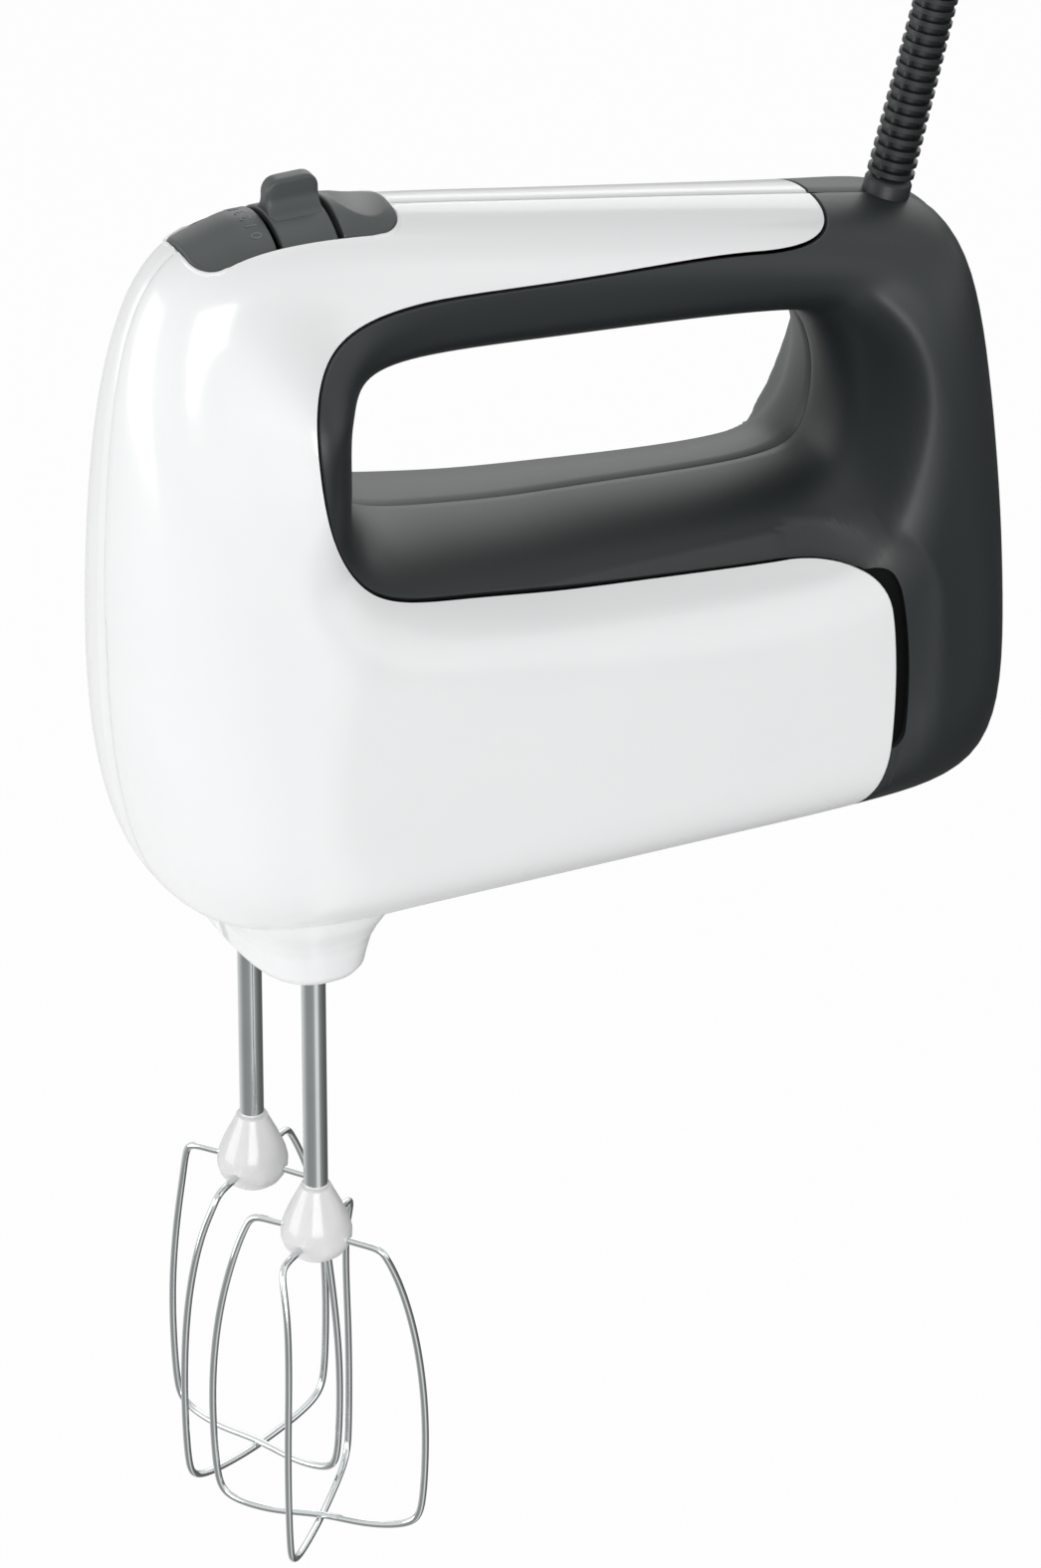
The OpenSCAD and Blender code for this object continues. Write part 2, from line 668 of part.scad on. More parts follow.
module front_bracket() {
  color("silver") {
    bracket_plate(bracket_x);
    for (y = [-12, 12]) along_x(beater_x + gearbox_r, y, drive_z)
      cylinder(r = 3, h = bracket_x - beater_x - gearbox_r);
  }
}

module rear_bracket() {
  color("silver") bracket_plate(rear_bracket_x);
}

module motor_screws() {
  color("silver") along_x(bracket_x, 0, drive_z) at_ties() {
    cylinder(r = tie_r, h = rear_bracket_x + bracket_t - bracket_x);
    translate([0, 0, rear_bracket_x + bracket_t - bracket_x]) cylinder(r = 2.8, h = 2);
  }
}

// ---- worm and gears -----------------------------------------------------------------
worm_starts = 2;
worm_len = 15;
gear_r = gear_teeth * tooth_module / 2;              // pitch radius
worm_r = beater_y - gear_r;
tooth_amp = 0.62;            // half the height of the rounded threads and teeth
mesh_gap = 0.28;             // the gears' teeth are kept this far from the worm's threads
worm_lead = worm_starts * PI * tooth_module;         // advance in a turn
lead_slope = worm_lead / (2 * PI * worm_r);
gear_twist = gear_h * lead_slope / gear_r * 180 / PI;

module worm() {
  turn = 360 * worm_len / worm_lead;
  color("gold") along_x(beater_x - worm_len / 2, 0, drive_z) difference() {
    rotate([0, 0, worm_phase]) linear_extrude(worm_len, twist = -turn, slices = 54, segments = 16)
      polygon([for (a = [0 : 22.5 : 359]) (worm_r + tooth_amp * cos(worm_starts * a)) * [cos(a), sin(a)]]);
    translate([0, 0, -1]) cylinder(r = motor_shaft_r, h = worm_len + 2);
  }
}
// Turns the worm so that a groove faces each gear's middle tooth
worm_phase = -180 * worm_len / worm_lead;

module gear(side) {
  pitch = 360 / gear_teeth;
  color("ivory") translate([beater_x, side * beater_y, drive_z - gear_h / 2]) difference() {
    rotate([0, 0, -gear_twist / 2]) linear_extrude(gear_h, twist = -gear_twist, slices = 3)
      polygon([for (k = [0 : gear_teeth * 6 - 1])
        let (a = -90 * side + k * pitch / 6)
        (gear_r - mesh_gap + tooth_amp * cos(60 * k)) * [cos(a), sin(a)]]);
    translate([0, 0, -1]) cylinder(r = spindle_r, h = gear_h + 2);
  }
}
module gear_left() { gear(-1); }
module gear_right() { gear(1); }

spindle_r = 4;
spindle_top = drive_z + 14;
module spindle(side) {
  color("silver") translate([beater_x, side * beater_y, boss_z + 1])
    ring(spindle_r, shaft_r + run_fit, spindle_top - boss_z - 1);
}
module spindle_left() { spindle(-1); }
module spindle_right() { spindle(1); }

bush_r = 6.5;
gearbox_floor = drive_z - 12;
gearbox_top = drive_z + 8;
gearbox_wall = 2;
cover_t = 2.5;
gearbox_in_r = gear_r + tooth_amp + 0.7;
gearbox_r = gearbox_in_r + gearbox_wall;
ear_r = 3.2;
ear_x = gearbox_r - 2.1;
ear_y = beater_y + 11;
gearbox_screw_r = 1.2;

module spindle_bushes() {
  color("goldenrod") for (s = [-1, 1]) translate([beater_x, s * beater_y, 0]) {
    translate([0, 0, gearbox_floor - 1]) ring(bush_r, spindle_r + run_fit, 7.5);
    translate([0, 0, drive_z + gear_h / 2 + 0.8]) ring(bush_r, spindle_r + run_fit, 6.5);
  }
}

module at_ears() { for (x = [-1, 1], y = [-1, 1]) translate([x * ear_x, y * ear_y, 0]) children(); }

module gearbox_housing() {
  color("gray") translate([beater_x, 0, 0]) difference() {
    union() {
      translate([0, 0, gearbox_floor]) linear_extrude(gearbox_top - gearbox_floor)
        stadium(gearbox_r, beater_y);
      translate([0, 0, gearbox_floor]) at_ears() cylinder(r = ear_r, h = gearbox_top - gearbox_floor);
      along_x(-19.5, 0, drive_z) cylinder(r = bearing_r + 1.9, h = 7);
    }
    translate([0, 0, gearbox_floor + 4]) linear_extrude(30) stadium(gearbox_in_r, beater_y);
    for (s = [-1, 1]) translate([0, s * beater_y, gearbox_floor - 1]) cylinder(r = bush_r, h = 8);
    at_ears() translate([0, 0, gearbox_floor + 4]) cylinder(r = gearbox_screw_r, h = 30);
    along_x(-20, 0, drive_z) cylinder(r = bearing_r, h = 20 + front_bearing_x + bearing_len - beater_x);
    along_x(-20, 0, drive_z) cylinder(r = worm_r + 1, h = 40);
  }
}

module gearbox_cover() {
  color("gray") translate([beater_x, 0, gearbox_top]) difference() {
    union() {
      linear_extrude(cover_t) stadium(gearbox_r, beater_y);
      at_ears() cylinder(r = ear_r, h = cover_t);
    }
    for (s = [-1, 1]) translate([0, s * beater_y, -1]) cylinder(r = bush_r, h = cover_t + 2);
    at_ears() translate([0, 0, -1]) cylinder(r = gearbox_screw_r, h = cover_t + 2);
  }
}

module gearbox_screws() {
  color("silver") translate([beater_x, 0, 0]) at_ears() {
    translate([0, 0, gearbox_floor + 6]) cylinder(r = gearbox_screw_r, h = gearbox_top + cover_t - gearbox_floor - 6);
    translate([0, 0, gearbox_top + cover_t]) cylinder(r = 2.4, h = 1.6);
  }
}

// ---- ejector ------------------------------------------------------------------------
shaft_top = drive_z + 4;
head_z = spindle_top + eject_travel + 0.5;   // underside of the pushers' heads
head_t = 2;
plate_z = head_z + head_t;
plate_t = 2.5;
module ejector_plate() {
  color("lightgray") translate([beater_x, 0, plate_z]) {
    linear_extrude(plate_t) stadium(5, beater_y);
    cylinder(r = rod_r, h = deck_axis_z - 4 - plate_z);
  }
}

module ejector_spring() {
  color("silver") translate([beater_x, 0, gearbox_top + cover_t])
    spring(4, 0.5, plate_z - gearbox_top - cover_t, 4);
}

module pusher(side) {
  color("ivory") translate([beater_x, side * beater_y, 0]) {
    translate([0, 0, shaft_top]) cylinder(r = shaft_r - 0.1, h = head_z + 1 - shaft_top);
    translate([0, 0, head_z]) cylinder(r = 4.6, h = head_t);
  }
}
module pusher_left() { pusher(-1); }
module pusher_right() { pusher(1); }

// ---- beaters ------------------------------------------------------------------------
hub_top = boss_z - shaft_show;
hub_h = 17;
hub_r = 7.4;
wire_exit = hub_top - 12;    // height at which the wires leave the hub
loop_turn = 37;              // angle of the lower loop about the beater's axis

// Half of a wire loop, drawn for a radius of 24 and a height of 70: [out, up]
half_loop = [[0, -70], [10, -69.5], [18, -68.5], [22.4, -66.5], [23.6, -62], [24.3, -52],
             [24.4, -38], [22.6, -22], [19.4, -9], [17, -1.5], [15.2, 0.8], [8, 0], [4, 0]];
function loop_ctrl(k) =
  let (n = len(half_loop), c = half_loop[min(abs(k), n - 1)])
  [sign(k) * c[0] * loop_r / 24, c[1] * (loop_h + 4) / 70];
function loop_at(t) =
  let (i = floor(t), u = t - i, a = loop_ctrl(i - 1), b = loop_ctrl(i),
       c = loop_ctrl(i + 1), d = loop_ctrl(i + 2))
  (pow(1 - u, 3) * a + (3 * u * u * u - 6 * u * u + 4) * b
   + (-3 * u * u * u + 3 * u * u + 3 * u + 1) * c + u * u * u * d) / 6;
loop_steps = 18;
twist_h = loop_h / 4;        // the wires have all their twist this far down
module wire_loop(side, turn, lift) {
  span = len(half_loop) - 1;
  color("silver") translate([beater_x, side * beater_y, wire_exit]) rotate([0, 0, turn])
    bar([for (i = [-loop_steps : loop_steps])
      let (p = loop_at(span * i / loop_steps), near = max(0, 1 - abs(p[0]) / 9),
           twist = -side * loop_twist * smooth((2 - p[1]) / twist_h))
      [p[0] * cos(twist), p[0] * sin(twist), p[1] + lift * smooth(near)]],
      wire_d / 2, 8, [0, 1, 0]);
}
cross_lift = wire_d + 0.2;   // the upper loop passes this far above the lower one
module lower_loop_left() { wire_loop(-1, loop_turn, 0); }
module upper_loop_left() { wire_loop(-1, loop_turn + 90, cross_lift); }
module lower_loop_right() { wire_loop(1, loop_turn, 0); }
module upper_loop_right() { wire_loop(1, loop_turn + 90, cross_lift); }

module beater_shaft(side) {
  color("silver") translate([beater_x, side * beater_y, hub_top - 10])
    cylinder(r = shaft_r, h = shaft_top - hub_top + 10);
}
module beater_shaft_left() { beater_shaft(-1); }
module beater_shaft_right() { beater_shaft(1); }

// Radius of the egg-shaped hub a share q of the way down
function hub_at(q) = q < 0.58 ? 3.2 + (hub_r - 3.2) * sin(90 * q / 0.58)
                              : hub_r * sqrt(max(0, 1 - pow((q - 0.58) / 0.47, 2)));
module beater_hub(side) {
  color("white") translate([beater_x, side * beater_y, hub_top]) difference() {
    rotate_extrude() polygon(concat([[0, -hub_h], [0, 0]],
      [for (k = [0 : 14]) [hub_at(k / 14), -hub_h * k / 14]]));
    translate([0, 0, -10]) cylinder(r = shaft_r, h = 12);
  }
}
module beater_hub_left() { beater_hub(-1); }
module beater_hub_right() { beater_hub(1); }

// ---- electrics and lead -------------------------------------------------------------
boot_x = 67 * sx;
boot_z = -4 * sz;
boot_tilt = 14.6;            // the strain relief leans this far to the heel
boot_neck_r = 4.1;
boot_tip_r = 4.5;
boot_core_r = 3.7;
boot_base = 3;               // height of the plain collar at its foot
rib_pitch = 2.7;
module boot_place() { translate([boot_x, 0, boot_z]) rotate([0, boot_tilt, 0]) children(); }

module strain_relief() {
  ribs = floor((boot_len - boot_base - 1) / rib_pitch);
  color("black") boot_place() {
    cylinder(r = boot_r, h = boot_base);
    cylinder(r = boot_core_r, h = boot_len);
    for (k = [1 : ribs]) translate([0, 0, boot_base + rib_pitch * k - 1.5])
      cylinder(r = boot_r + (boot_tip_r - boot_r) * k / ribs, h = 1.5);
    translate([0, 0, -8]) cylinder(r = boot_neck_r - run_fit, h = 9);
    translate([0, 0, -10]) cylinder(r = boot_neck_r + 2, h = 3);
  }
}

module cord_clamp() {
  color("gray") boot_place() translate([0, 0, -16]) difference() {
    translate([-5, -8, 0]) cube([10, 16, 5]);
    translate([0, 0, -1]) cylinder(r = cord_d / 2, h = 7);
  }
}

module noise_suppressor() {
  color("goldenrod") translate([boot_x - 5, -5, -66 * sz]) cube([15, 10, 17]);
}

// Leads from the clamp through the handle to the chassis: [x, z], before scaling
lead_route = [[56, -17], [52, -13], [46, -10], [30, -9], [10, -8], [-10, -5], [-30, -1],
              [-41, 1], [-45, 0]];
module inner_leads() {
  color("saddlebrown") for (y = [-1.3, 1.3])
    bar([for (p = lead_route) [p[0] * sx, y, p[1] * sz]], 1.1, 6, [0, 1, 0]);
}

// Route of the lead from the strain relief's tip over and down to the hank, as laid
cord_route = [[82, 0, 54], [86, 0, 64.5], [92, 0, 74], [101, 0, 81.5], [112, 0, 84.5],
              [123, 0, 82], [132, 0, 75], [138, 0, 65], [141, 0, 53], [142, 0, 40],
              [142, 0, 25], [142, 0, 10], [142, 0, -2]];
hank_x = 142;
hank_turns = 3;
hank_fold_r = 21;
hank_top_z = -10;            // where the straight runs start
hank_run = 80;
plug_z = -126;               // top of the plug's grip
plug_x = hank_x + hank_turns * cord_d;
boot_tip = [boot_x + boot_len * sin(boot_tilt), 0, boot_z + boot_len * cos(boot_tilt)];

module power_cord() {
  color("black") {
    bar(concat([boot_tip], cord_route), cord_d / 2, 10, [0, 1, 0]);
    bar([for (z = [hank_top_z - hank_run - 8 : -6 : plug_z]) [plug_x, 0, z]], cord_d / 2, 10,
        [0, 1, 0]);
  }
}

module hank_outline(grow) {
  r = hank_fold_r + cord_d / 2 + grow;
  translate([hank_fold_r, hank_top_z]) circle(r);
  translate([hank_fold_r, hank_top_z - hank_run]) circle(r);
  translate([hank_fold_r - r, hank_top_z - hank_run]) square([2 * r, hank_run]);
}
// Turns an outline drawn as [y, z] to stand at x
module facing_x(x) {
  translate([x, 0, 0]) rotate([90, 0, 90]) children();
}

module cord_hank() {
  color("black") facing_x(hank_x - cord_d / 2)
    linear_extrude((hank_turns + 1) * cord_d) hank_outline(0);
}

tie_h = 12;
tie_t = 1.2;
module cord_tie() {
  mid = hank_top_z - hank_run / 2;
  w = 2 * hank_fold_r + cord_d;
  d = (hank_turns + 1) * cord_d;
  color("dimgray") translate([hank_x - cord_d / 2, -cord_d / 2, mid - tie_h / 2]) difference() {
    translate([-tie_t, -tie_t, 0]) cube([d + 2 * tie_t, w + 2 * tie_t, tie_h]);
    translate([0, 0, -1]) cube([d, w, tie_h + 2]);
  }
}

plug_neck_h = 14;
plug_body_h = 24;
plug_thick = 14;
module plug_body() {
  color("black") translate([plug_x, 0, plug_z]) {
    translate([0, 0, -plug_neck_h]) cylinder(r1 = plug_thick / 2, r2 = cord_d / 2 + 1.5, h = plug_neck_h);
    translate([0, 0, -plug_neck_h - plug_body_h]) linear_extrude(plug_body_h)
      stadium(plug_thick / 2, pin_pitch / 2 + 1);
  }
}

module plug_pins() {
  color("silver") for (s = [-1, 1])
    translate([plug_x, s * pin_pitch / 2, plug_z - plug_neck_h - plug_body_h - pin_len])
      cylinder(r = pin_r, h = pin_len);
}

housing_left();
housing_right();
grip_left();
grip_right();
control_panel();
speed_selector();
selector_pin();
turbo_button();
turbo_spring();
turbo_switch();
speed_switch();
circuit_board();
control_chassis();
noise_suppressor();
stator_core();
field_coils();
motor_shaft();
rotor_core();
rotor_windings();
commutator();
cooling_fan();
worm();
front_bearing();
middle_bearing();
rear_bearing();
brush_holders();
carbon_brushes();
front_bracket();
rear_bracket();
motor_screws();
gearbox_housing();
gearbox_cover();
gearbox_screws();
gear_left();
gear_right();
spindle_left();
spindle_right();
spindle_bushes();
ejector_plate();
ejector_spring();
pusher_left();
pusher_right();
beater_shaft_left();
beater_shaft_right();
beater_hub_left();
beater_hub_right();
lower_loop_left();
upper_loop_left();
lower_loop_right();
upper_loop_right();
housing_screws();
cord_clamp();
inner_leads();
strain_relief();
power_cord();
cord_hank();
cord_tie();
plug_body();
plug_pins();
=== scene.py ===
"""A hand mixer with two wire beaters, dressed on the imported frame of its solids.

Meshes are in metres in the frame of the solids: +X to the heel, -Y to the mixer's left, +Z
up, with the origin in the middle of the handle. Many classes hold their sizes in millimetres
and say so.
"""
import json
import logging
import math
from collections.abc import Callable, Sequence
from dataclasses import dataclass
from enum import Enum
from typing import NamedTuple

import bmesh
import bpy
from mathutils import Euler, Matrix, Vector
from mathutils.bvhtree import BVHTree
from mathutils.kdtree import KDTree


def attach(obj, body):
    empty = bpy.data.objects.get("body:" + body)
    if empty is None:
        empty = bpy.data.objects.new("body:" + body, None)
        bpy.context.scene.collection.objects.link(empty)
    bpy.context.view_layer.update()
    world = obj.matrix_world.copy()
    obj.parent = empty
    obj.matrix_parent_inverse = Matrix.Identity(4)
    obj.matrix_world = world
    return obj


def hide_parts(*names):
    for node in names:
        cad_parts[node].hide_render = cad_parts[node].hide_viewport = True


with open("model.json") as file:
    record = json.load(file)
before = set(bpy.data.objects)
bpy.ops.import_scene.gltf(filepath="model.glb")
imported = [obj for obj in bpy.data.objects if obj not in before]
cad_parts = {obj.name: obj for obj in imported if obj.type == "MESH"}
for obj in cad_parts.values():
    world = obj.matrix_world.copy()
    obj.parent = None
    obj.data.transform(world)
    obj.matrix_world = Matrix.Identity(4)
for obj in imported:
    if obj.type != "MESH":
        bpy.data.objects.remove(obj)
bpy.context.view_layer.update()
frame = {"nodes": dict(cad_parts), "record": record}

LOG = logging.getLogger("mixer")
MM = 0.001
MERGE = 1e-6                      # vertices this close are one, in metres
SHARP = math.radians(40)          # edges of shells sharper than this stay crisp in shading
SOFT_SHARP = math.radians(38)     # the same for the controls and the plug
BEATER_X, BEATER_Y = -68.5, 15.5  # the beaters' axes, in millimetres
Point = tuple[float, float, float]
Surface = Callable[[float, float], Vector]


class Side(Enum):
    """The two mirrored halves of the mixer."""

    LEFT = -1
    RIGHT = 1

    @property
    def word(self) -> str:
        """Name of the side as the solids spell it."""
        return self.name.lower()


class Body(Enum):
    """The rigid bodies that pieces ride on."""

    SHELL = "mixer_body"
    SELECTOR = "selector"
    TURBO = "turbo"
    BEATER_LEFT = "beater_left"
    BEATER_RIGHT = "beater_right"


# ---- shader groups -------------------------------------------------------------------
class ShaderKit:
    """Effects that several finishes share, each a node group built once."""

    def __init__(self) -> None:
        """Build the groups."""
        self.moulded = self._moulded()
        self.drawn = self._drawn()

    @staticmethod
    def _group(name: str, *patterns: tuple[str, str, object]) -> bpy.types.NodeTree:
        """Make a group with the sockets that every effect has and no wiring.

        Args:
            name: the group's name.
            patterns: (name, kind, default) of each input that sizes a pattern.

        Returns:
            The node group.
        """
        tree = bpy.data.node_groups.new(name, "ShaderNodeTree")
        inputs = (("Colour", "NodeSocketColor", (0.8, 0.8, 0.8, 1.0)),
                  ("Shade", "NodeSocketColor", (0.7, 0.7, 0.7, 1.0)),
                  ("Rough Low", "NodeSocketFloat", 0.2),
                  ("Rough High", "NodeSocketFloat", 0.3))
        for label, kind, value in (*inputs, *patterns):
            socket = tree.interface.new_socket(label, in_out="INPUT", socket_type=kind)
            socket.default_value = value
        for label, kind in (("Colour", "NodeSocketColor"), ("Roughness", "NodeSocketFloat"),
                            ("Height", "NodeSocketFloat")):
            tree.interface.new_socket(label, in_out="OUTPUT", socket_type=kind)
        return tree

    @staticmethod
    def _finish(tree: bpy.types.NodeTree, source: bpy.types.Node, cloud: bpy.types.Node,
                fine: bpy.types.Node) -> bpy.types.NodeTree:
        """Let one pattern mix the colours and another drive the roughness and the height.

        Args:
            tree: the node group.
            source: its input node.
            cloud: the broad pattern.
            fine: the fine pattern.

        Returns:
            The finished group.
        """
        nodes, links = tree.nodes, tree.links
        sink = nodes.new("NodeGroupOutput")
        blend = nodes.new("ShaderNodeMix")
        blend.data_type = "RGBA"
        rough = nodes.new("ShaderNodeMapRange")
        for output, target in ((cloud.outputs["Fac"], blend.inputs["Factor"]),
                               (source.outputs["Colour"], blend.inputs["A"]),
                               (source.outputs["Shade"], blend.inputs["B"]),
                               (fine.outputs["Fac"], rough.inputs["Value"]),
                               (source.outputs["Rough Low"], rough.inputs["To Min"]),
                               (source.outputs["Rough High"], rough.inputs["To Max"]),
                               (blend.outputs["Result"], sink.inputs["Colour"]),
                               (rough.outputs["Result"], sink.inputs["Roughness"]),
                               (fine.outputs["Fac"], sink.inputs["Height"])):
            links.new(output, target)
        return tree

    def _moulded(self) -> bpy.types.NodeTree:
        """Moulded plastic: cloudy colour, uneven gloss and a fine spark-eroded grain.

        Returns:
            The node group.
        """
        tree = self._group("moulded_skin", ("Cloud Scale", "NodeSocketFloat", 30.0),
                           ("Grain Scale", "NodeSocketFloat", 1500.0))
        nodes, links = tree.nodes, tree.links
        source, place = nodes.new("NodeGroupInput"), nodes.new("ShaderNodeTexCoord")
        cloud, grain = nodes.new("ShaderNodeTexNoise"), nodes.new("ShaderNodeTexNoise")
        for texture, scale in ((cloud, "Cloud Scale"), (grain, "Grain Scale")):
            links.new(place.outputs["Object"], texture.inputs["Vector"])
            links.new(source.outputs[scale], texture.inputs["Scale"])
            texture.inputs["Detail"].default_value = 3.0
        return self._finish(tree, source, cloud, grain)

    def _drawn(self) -> bpy.types.NodeTree:
        """Drawn or ground metal: fine lines across one axis and faint tarnish.

        Returns:
            The node group.
        """
        tree = self._group("drawn_metal",
                           ("Stretch", "NodeSocketVector", (600.0, 600.0, 6000.0)))
        nodes, links = tree.nodes, tree.links
        source, place = nodes.new("NodeGroupInput"), nodes.new("ShaderNodeTexCoord")
        stretch = nodes.new("ShaderNodeVectorMath")
        stretch.operation = "MULTIPLY"
        links.new(place.outputs["Object"], stretch.inputs[0])
        links.new(source.outputs["Stretch"], stretch.inputs[1])
        lines, cloud = nodes.new("ShaderNodeTexNoise"), nodes.new("ShaderNodeTexNoise")
        lines.inputs["Scale"].default_value = 1.0
        lines.inputs["Detail"].default_value = 2.0
        links.new(stretch.outputs["Vector"], lines.inputs["Vector"])
        cloud.inputs["Scale"].default_value = 90.0
        links.new(place.outputs["Object"], cloud.inputs["Vector"])
        return self._finish(tree, source, cloud, lines)


@dataclass(frozen=True)
class Finish:
    """A surface finish: a shared effect with this finish's own colours and sizes.

    The colour drifts to the shade in clouds, and the roughness runs between the two values
    of rough. grain, cloud and stretch are the scales of the patterns, per metre.
    """

    name: str
    colour: Point
    shade: Point
    rough: tuple[float, float]
    metal: float = 0.0              # 1 for metals, which have drawn lines
    coat: float = 0.0               # weight of the clear gloss on top
    grain: float = 1500.0
    cloud: float = 30.0
    stretch: Point = (600.0, 600.0, 6000.0)
    relief: float = 0.02            # strength of the fine pattern's bumps
    relief_depth: float = 0.2 * MM  # their height
    specular: float = 0.5
    coat_rough: float = 0.06

    def build(self, kit: ShaderKit) -> bpy.types.Material:
        """Make the material.

        Args:
            kit: the shared shader groups.

        Returns:
            The finished material.
        """
        material = bpy.data.materials.new(self.name)
        material.use_nodes = True
        nodes, links = material.node_tree.nodes, material.node_tree.links
        shader = nodes["Principled BSDF"]
        group = nodes.new("ShaderNodeGroup")
        drawn = self.metal > 0.5
        group.node_tree = kit.drawn if drawn else kit.moulded
        group.inputs["Colour"].default_value = (*self.colour, 1.0)
        group.inputs["Shade"].default_value = (*self.shade, 1.0)
        for label, value in zip(("Rough Low", "Rough High"), self.rough):
            group.inputs[label].default_value = value
        if drawn:
            group.inputs["Stretch"].default_value = self.stretch
        else:
            group.inputs["Cloud Scale"].default_value = self.cloud
            group.inputs["Grain Scale"].default_value = self.grain
        bump = nodes.new("ShaderNodeBump")
        bump.inputs["Strength"].default_value = self.relief
        bump.inputs["Distance"].default_value = self.relief_depth
        links.new(group.outputs["Colour"], shader.inputs["Base Color"])
        links.new(group.outputs["Roughness"], shader.inputs["Roughness"])
        links.new(group.outputs["Height"], bump.inputs["Height"])
        links.new(bump.outputs["Normal"], shader.inputs["Normal"])
        shader.inputs["Metallic"].default_value = self.metal
        shader.inputs["Specular IOR Level"].default_value = self.specular
        if self.coat:
            shader.inputs["Coat Weight"].default_value = self.coat
            shader.inputs["Coat Roughness"].default_value = self.coat_rough
        return material


def grey(level: float, warm: float = 0.0) -> Point:
    """A grey that leans to red as warm rises.

    Args:
        level: its linear value.
        warm: share by which red gains on blue.

    Returns:
        The colour.
    """
    return (level * (1 + warm), level, level * (1 - warm))


FINISHES = {finish.name: finish for finish in (
    Finish("white_shell", grey(0.83, -0.006), grey(0.8, -0.008), (0.2, 0.26), coat=0.3,
           grain=420.0, relief=0.0015),
    Finish("dark_shell", (0.007, 0.0105, 0.011), (0.0095, 0.0135, 0.014), (0.42, 0.5),
           grain=2400.0, relief=0.05),
    Finish("control_grey", (0.044, 0.053, 0.052), (0.052, 0.062, 0.061), (0.4, 0.48),
           grain=2600.0, relief=0.06),
    Finish("hub_white", grey(0.72), grey(0.68), (0.16, 0.24), coat=0.25, grain=900.0,
           relief=0.01),
    Finish("wire_steel", (0.66, 0.69, 0.69), (0.58, 0.61, 0.61), (0.06, 0.12), metal=1.0),
    Finish("shaft_steel", grey(0.5), grey(0.42), (0.16, 0.3), metal=1.0),
    Finish("spring_steel", grey(0.45), grey(0.35), (0.15, 0.3), metal=1.0),
    Finish("core_steel", grey(0.2), grey(0.12), (0.35, 0.55), metal=1.0,
           stretch=(9000.0, 300.0, 300.0), relief=0.3),
    Finish("winding_copper", (0.5, 0.2, 0.07), (0.36, 0.13, 0.04), (0.25, 0.4), metal=1.0,
           stretch=(400.0, 2500.0, 2500.0), relief=0.3),
    Finish("bearing_bronze", (0.5, 0.33, 0.14), (0.4, 0.25, 0.1), (0.35, 0.5), metal=1.0),
    Finish("bracket_zinc", grey(0.5), grey(0.4), (0.4, 0.55), metal=1.0,
           stretch=(900.0, 900.0, 900.0)),
    Finish("gear_nylon", (0.68, 0.64, 0.5), (0.6, 0.56, 0.44), (0.35, 0.5)),
    Finish("inner_plastic", grey(0.05), grey(0.065), (0.4, 0.55)),
    Finish("carbon", grey(0.02), grey(0.03), (0.5, 0.7), relief=0.2),
    Finish("board_green", (0.02, 0.09, 0.03), (0.03, 0.12, 0.04), (0.2, 0.35)),
    Finish("lead_sleeve", (0.16, 0.05, 0.03), (0.12, 0.04, 0.02), (0.35, 0.5)),
    Finish("cord_black", (0.009, 0.011, 0.012), (0.013, 0.015, 0.016), (0.38, 0.5), grain=1800.0,
           relief=0.06, specular=0.4),
    # near black: painted shade for the wall behind the cooling slot, standing in for the deep
    # shade inside the slot
    Finish("slot_painted_shade", (0.0008, 0.001, 0.001), (0.0012, 0.0014, 0.0014), (0.6, 0.7),
           relief=0.0, specular=0.1),
    Finish("pin_brass", (0.6, 0.55, 0.42), (0.5, 0.45, 0.34), (0.18, 0.3), metal=1.0),
    Finish("dial_print", (0.13, 0.15, 0.15), (0.11, 0.13, 0.13), (0.5, 0.6)))}


class Paintbox:
    """Makes each finish once and hands it out."""

    def __init__(self) -> None:
        """Build the shared groups and keep the finishes that are asked for."""
        self.kit = ShaderKit()
        self.made: dict[str, bpy.types.Material] = {}

    def get(self, name: str) -> bpy.types.Material:
        """Return the material of a finish.

        Args:
            name: its key in FINISHES.

        Returns:
            The material.
        """
        if name not in self.made:
            self.made[name] = FINISHES[name].build(self.kit)
        return self.made[name]

    def dress_solids(self) -> None:
        """Give every solid of the frame its slot's finish."""
        for entry in frame["record"]["subparts"]:
            solid = frame["nodes"][entry["node"]]
            solid.data.materials.clear()
            solid.data.materials.append(self.get(entry["material_slot"]))


# ---- mesh helpers --------------------------------------------------------------------
def to_object(bm: bmesh.types.BMesh, name: str, smooth: bool = True) -> bpy.types.Object:
    """Store a bmesh as an object at the origin.

    Args:
        bm: the mesh, which is freed.
        name: the object's name.
        smooth: whether its faces are shaded smooth.

    Returns:
        The object, linked to the scene.
    """
    mesh = bpy.data.meshes.new(name)
    for face in bm.faces:
        face.smooth = smooth
    bm.to_mesh(mesh)
    bm.free()
    made = bpy.data.objects.new(name, mesh)
    bpy.context.scene.collection.objects.link(made)
    return made


def mapped_grid(across: int, along: int, surface: Surface, outward: Vector) -> bmesh.types.BMesh:
    """A grid laid on a surface, facing outward.

    Args:
        across: faces across the first parameter.
        along: faces along the second.
        surface: gives a point for parameters from 0 to 1.
        outward: a direction that most faces look along.

    Returns:
        The mesh.
    """
    bm = bmesh.new()
    bmesh.ops.create_grid(bm, x_segments=across, y_segments=along, size=1.0)
    for vert in bm.verts:
        vert.co = surface((vert.co.x + 1) / 2, (vert.co.y + 1) / 2)
    bmesh.ops.remove_doubles(bm, verts=bm.verts, dist=MERGE)
    bm.normal_update()
    if sum(face.normal.dot(outward) * face.calc_area() for face in bm.faces) < 0:
        bmesh.ops.reverse_faces(bm, faces=bm.faces)
    return bm


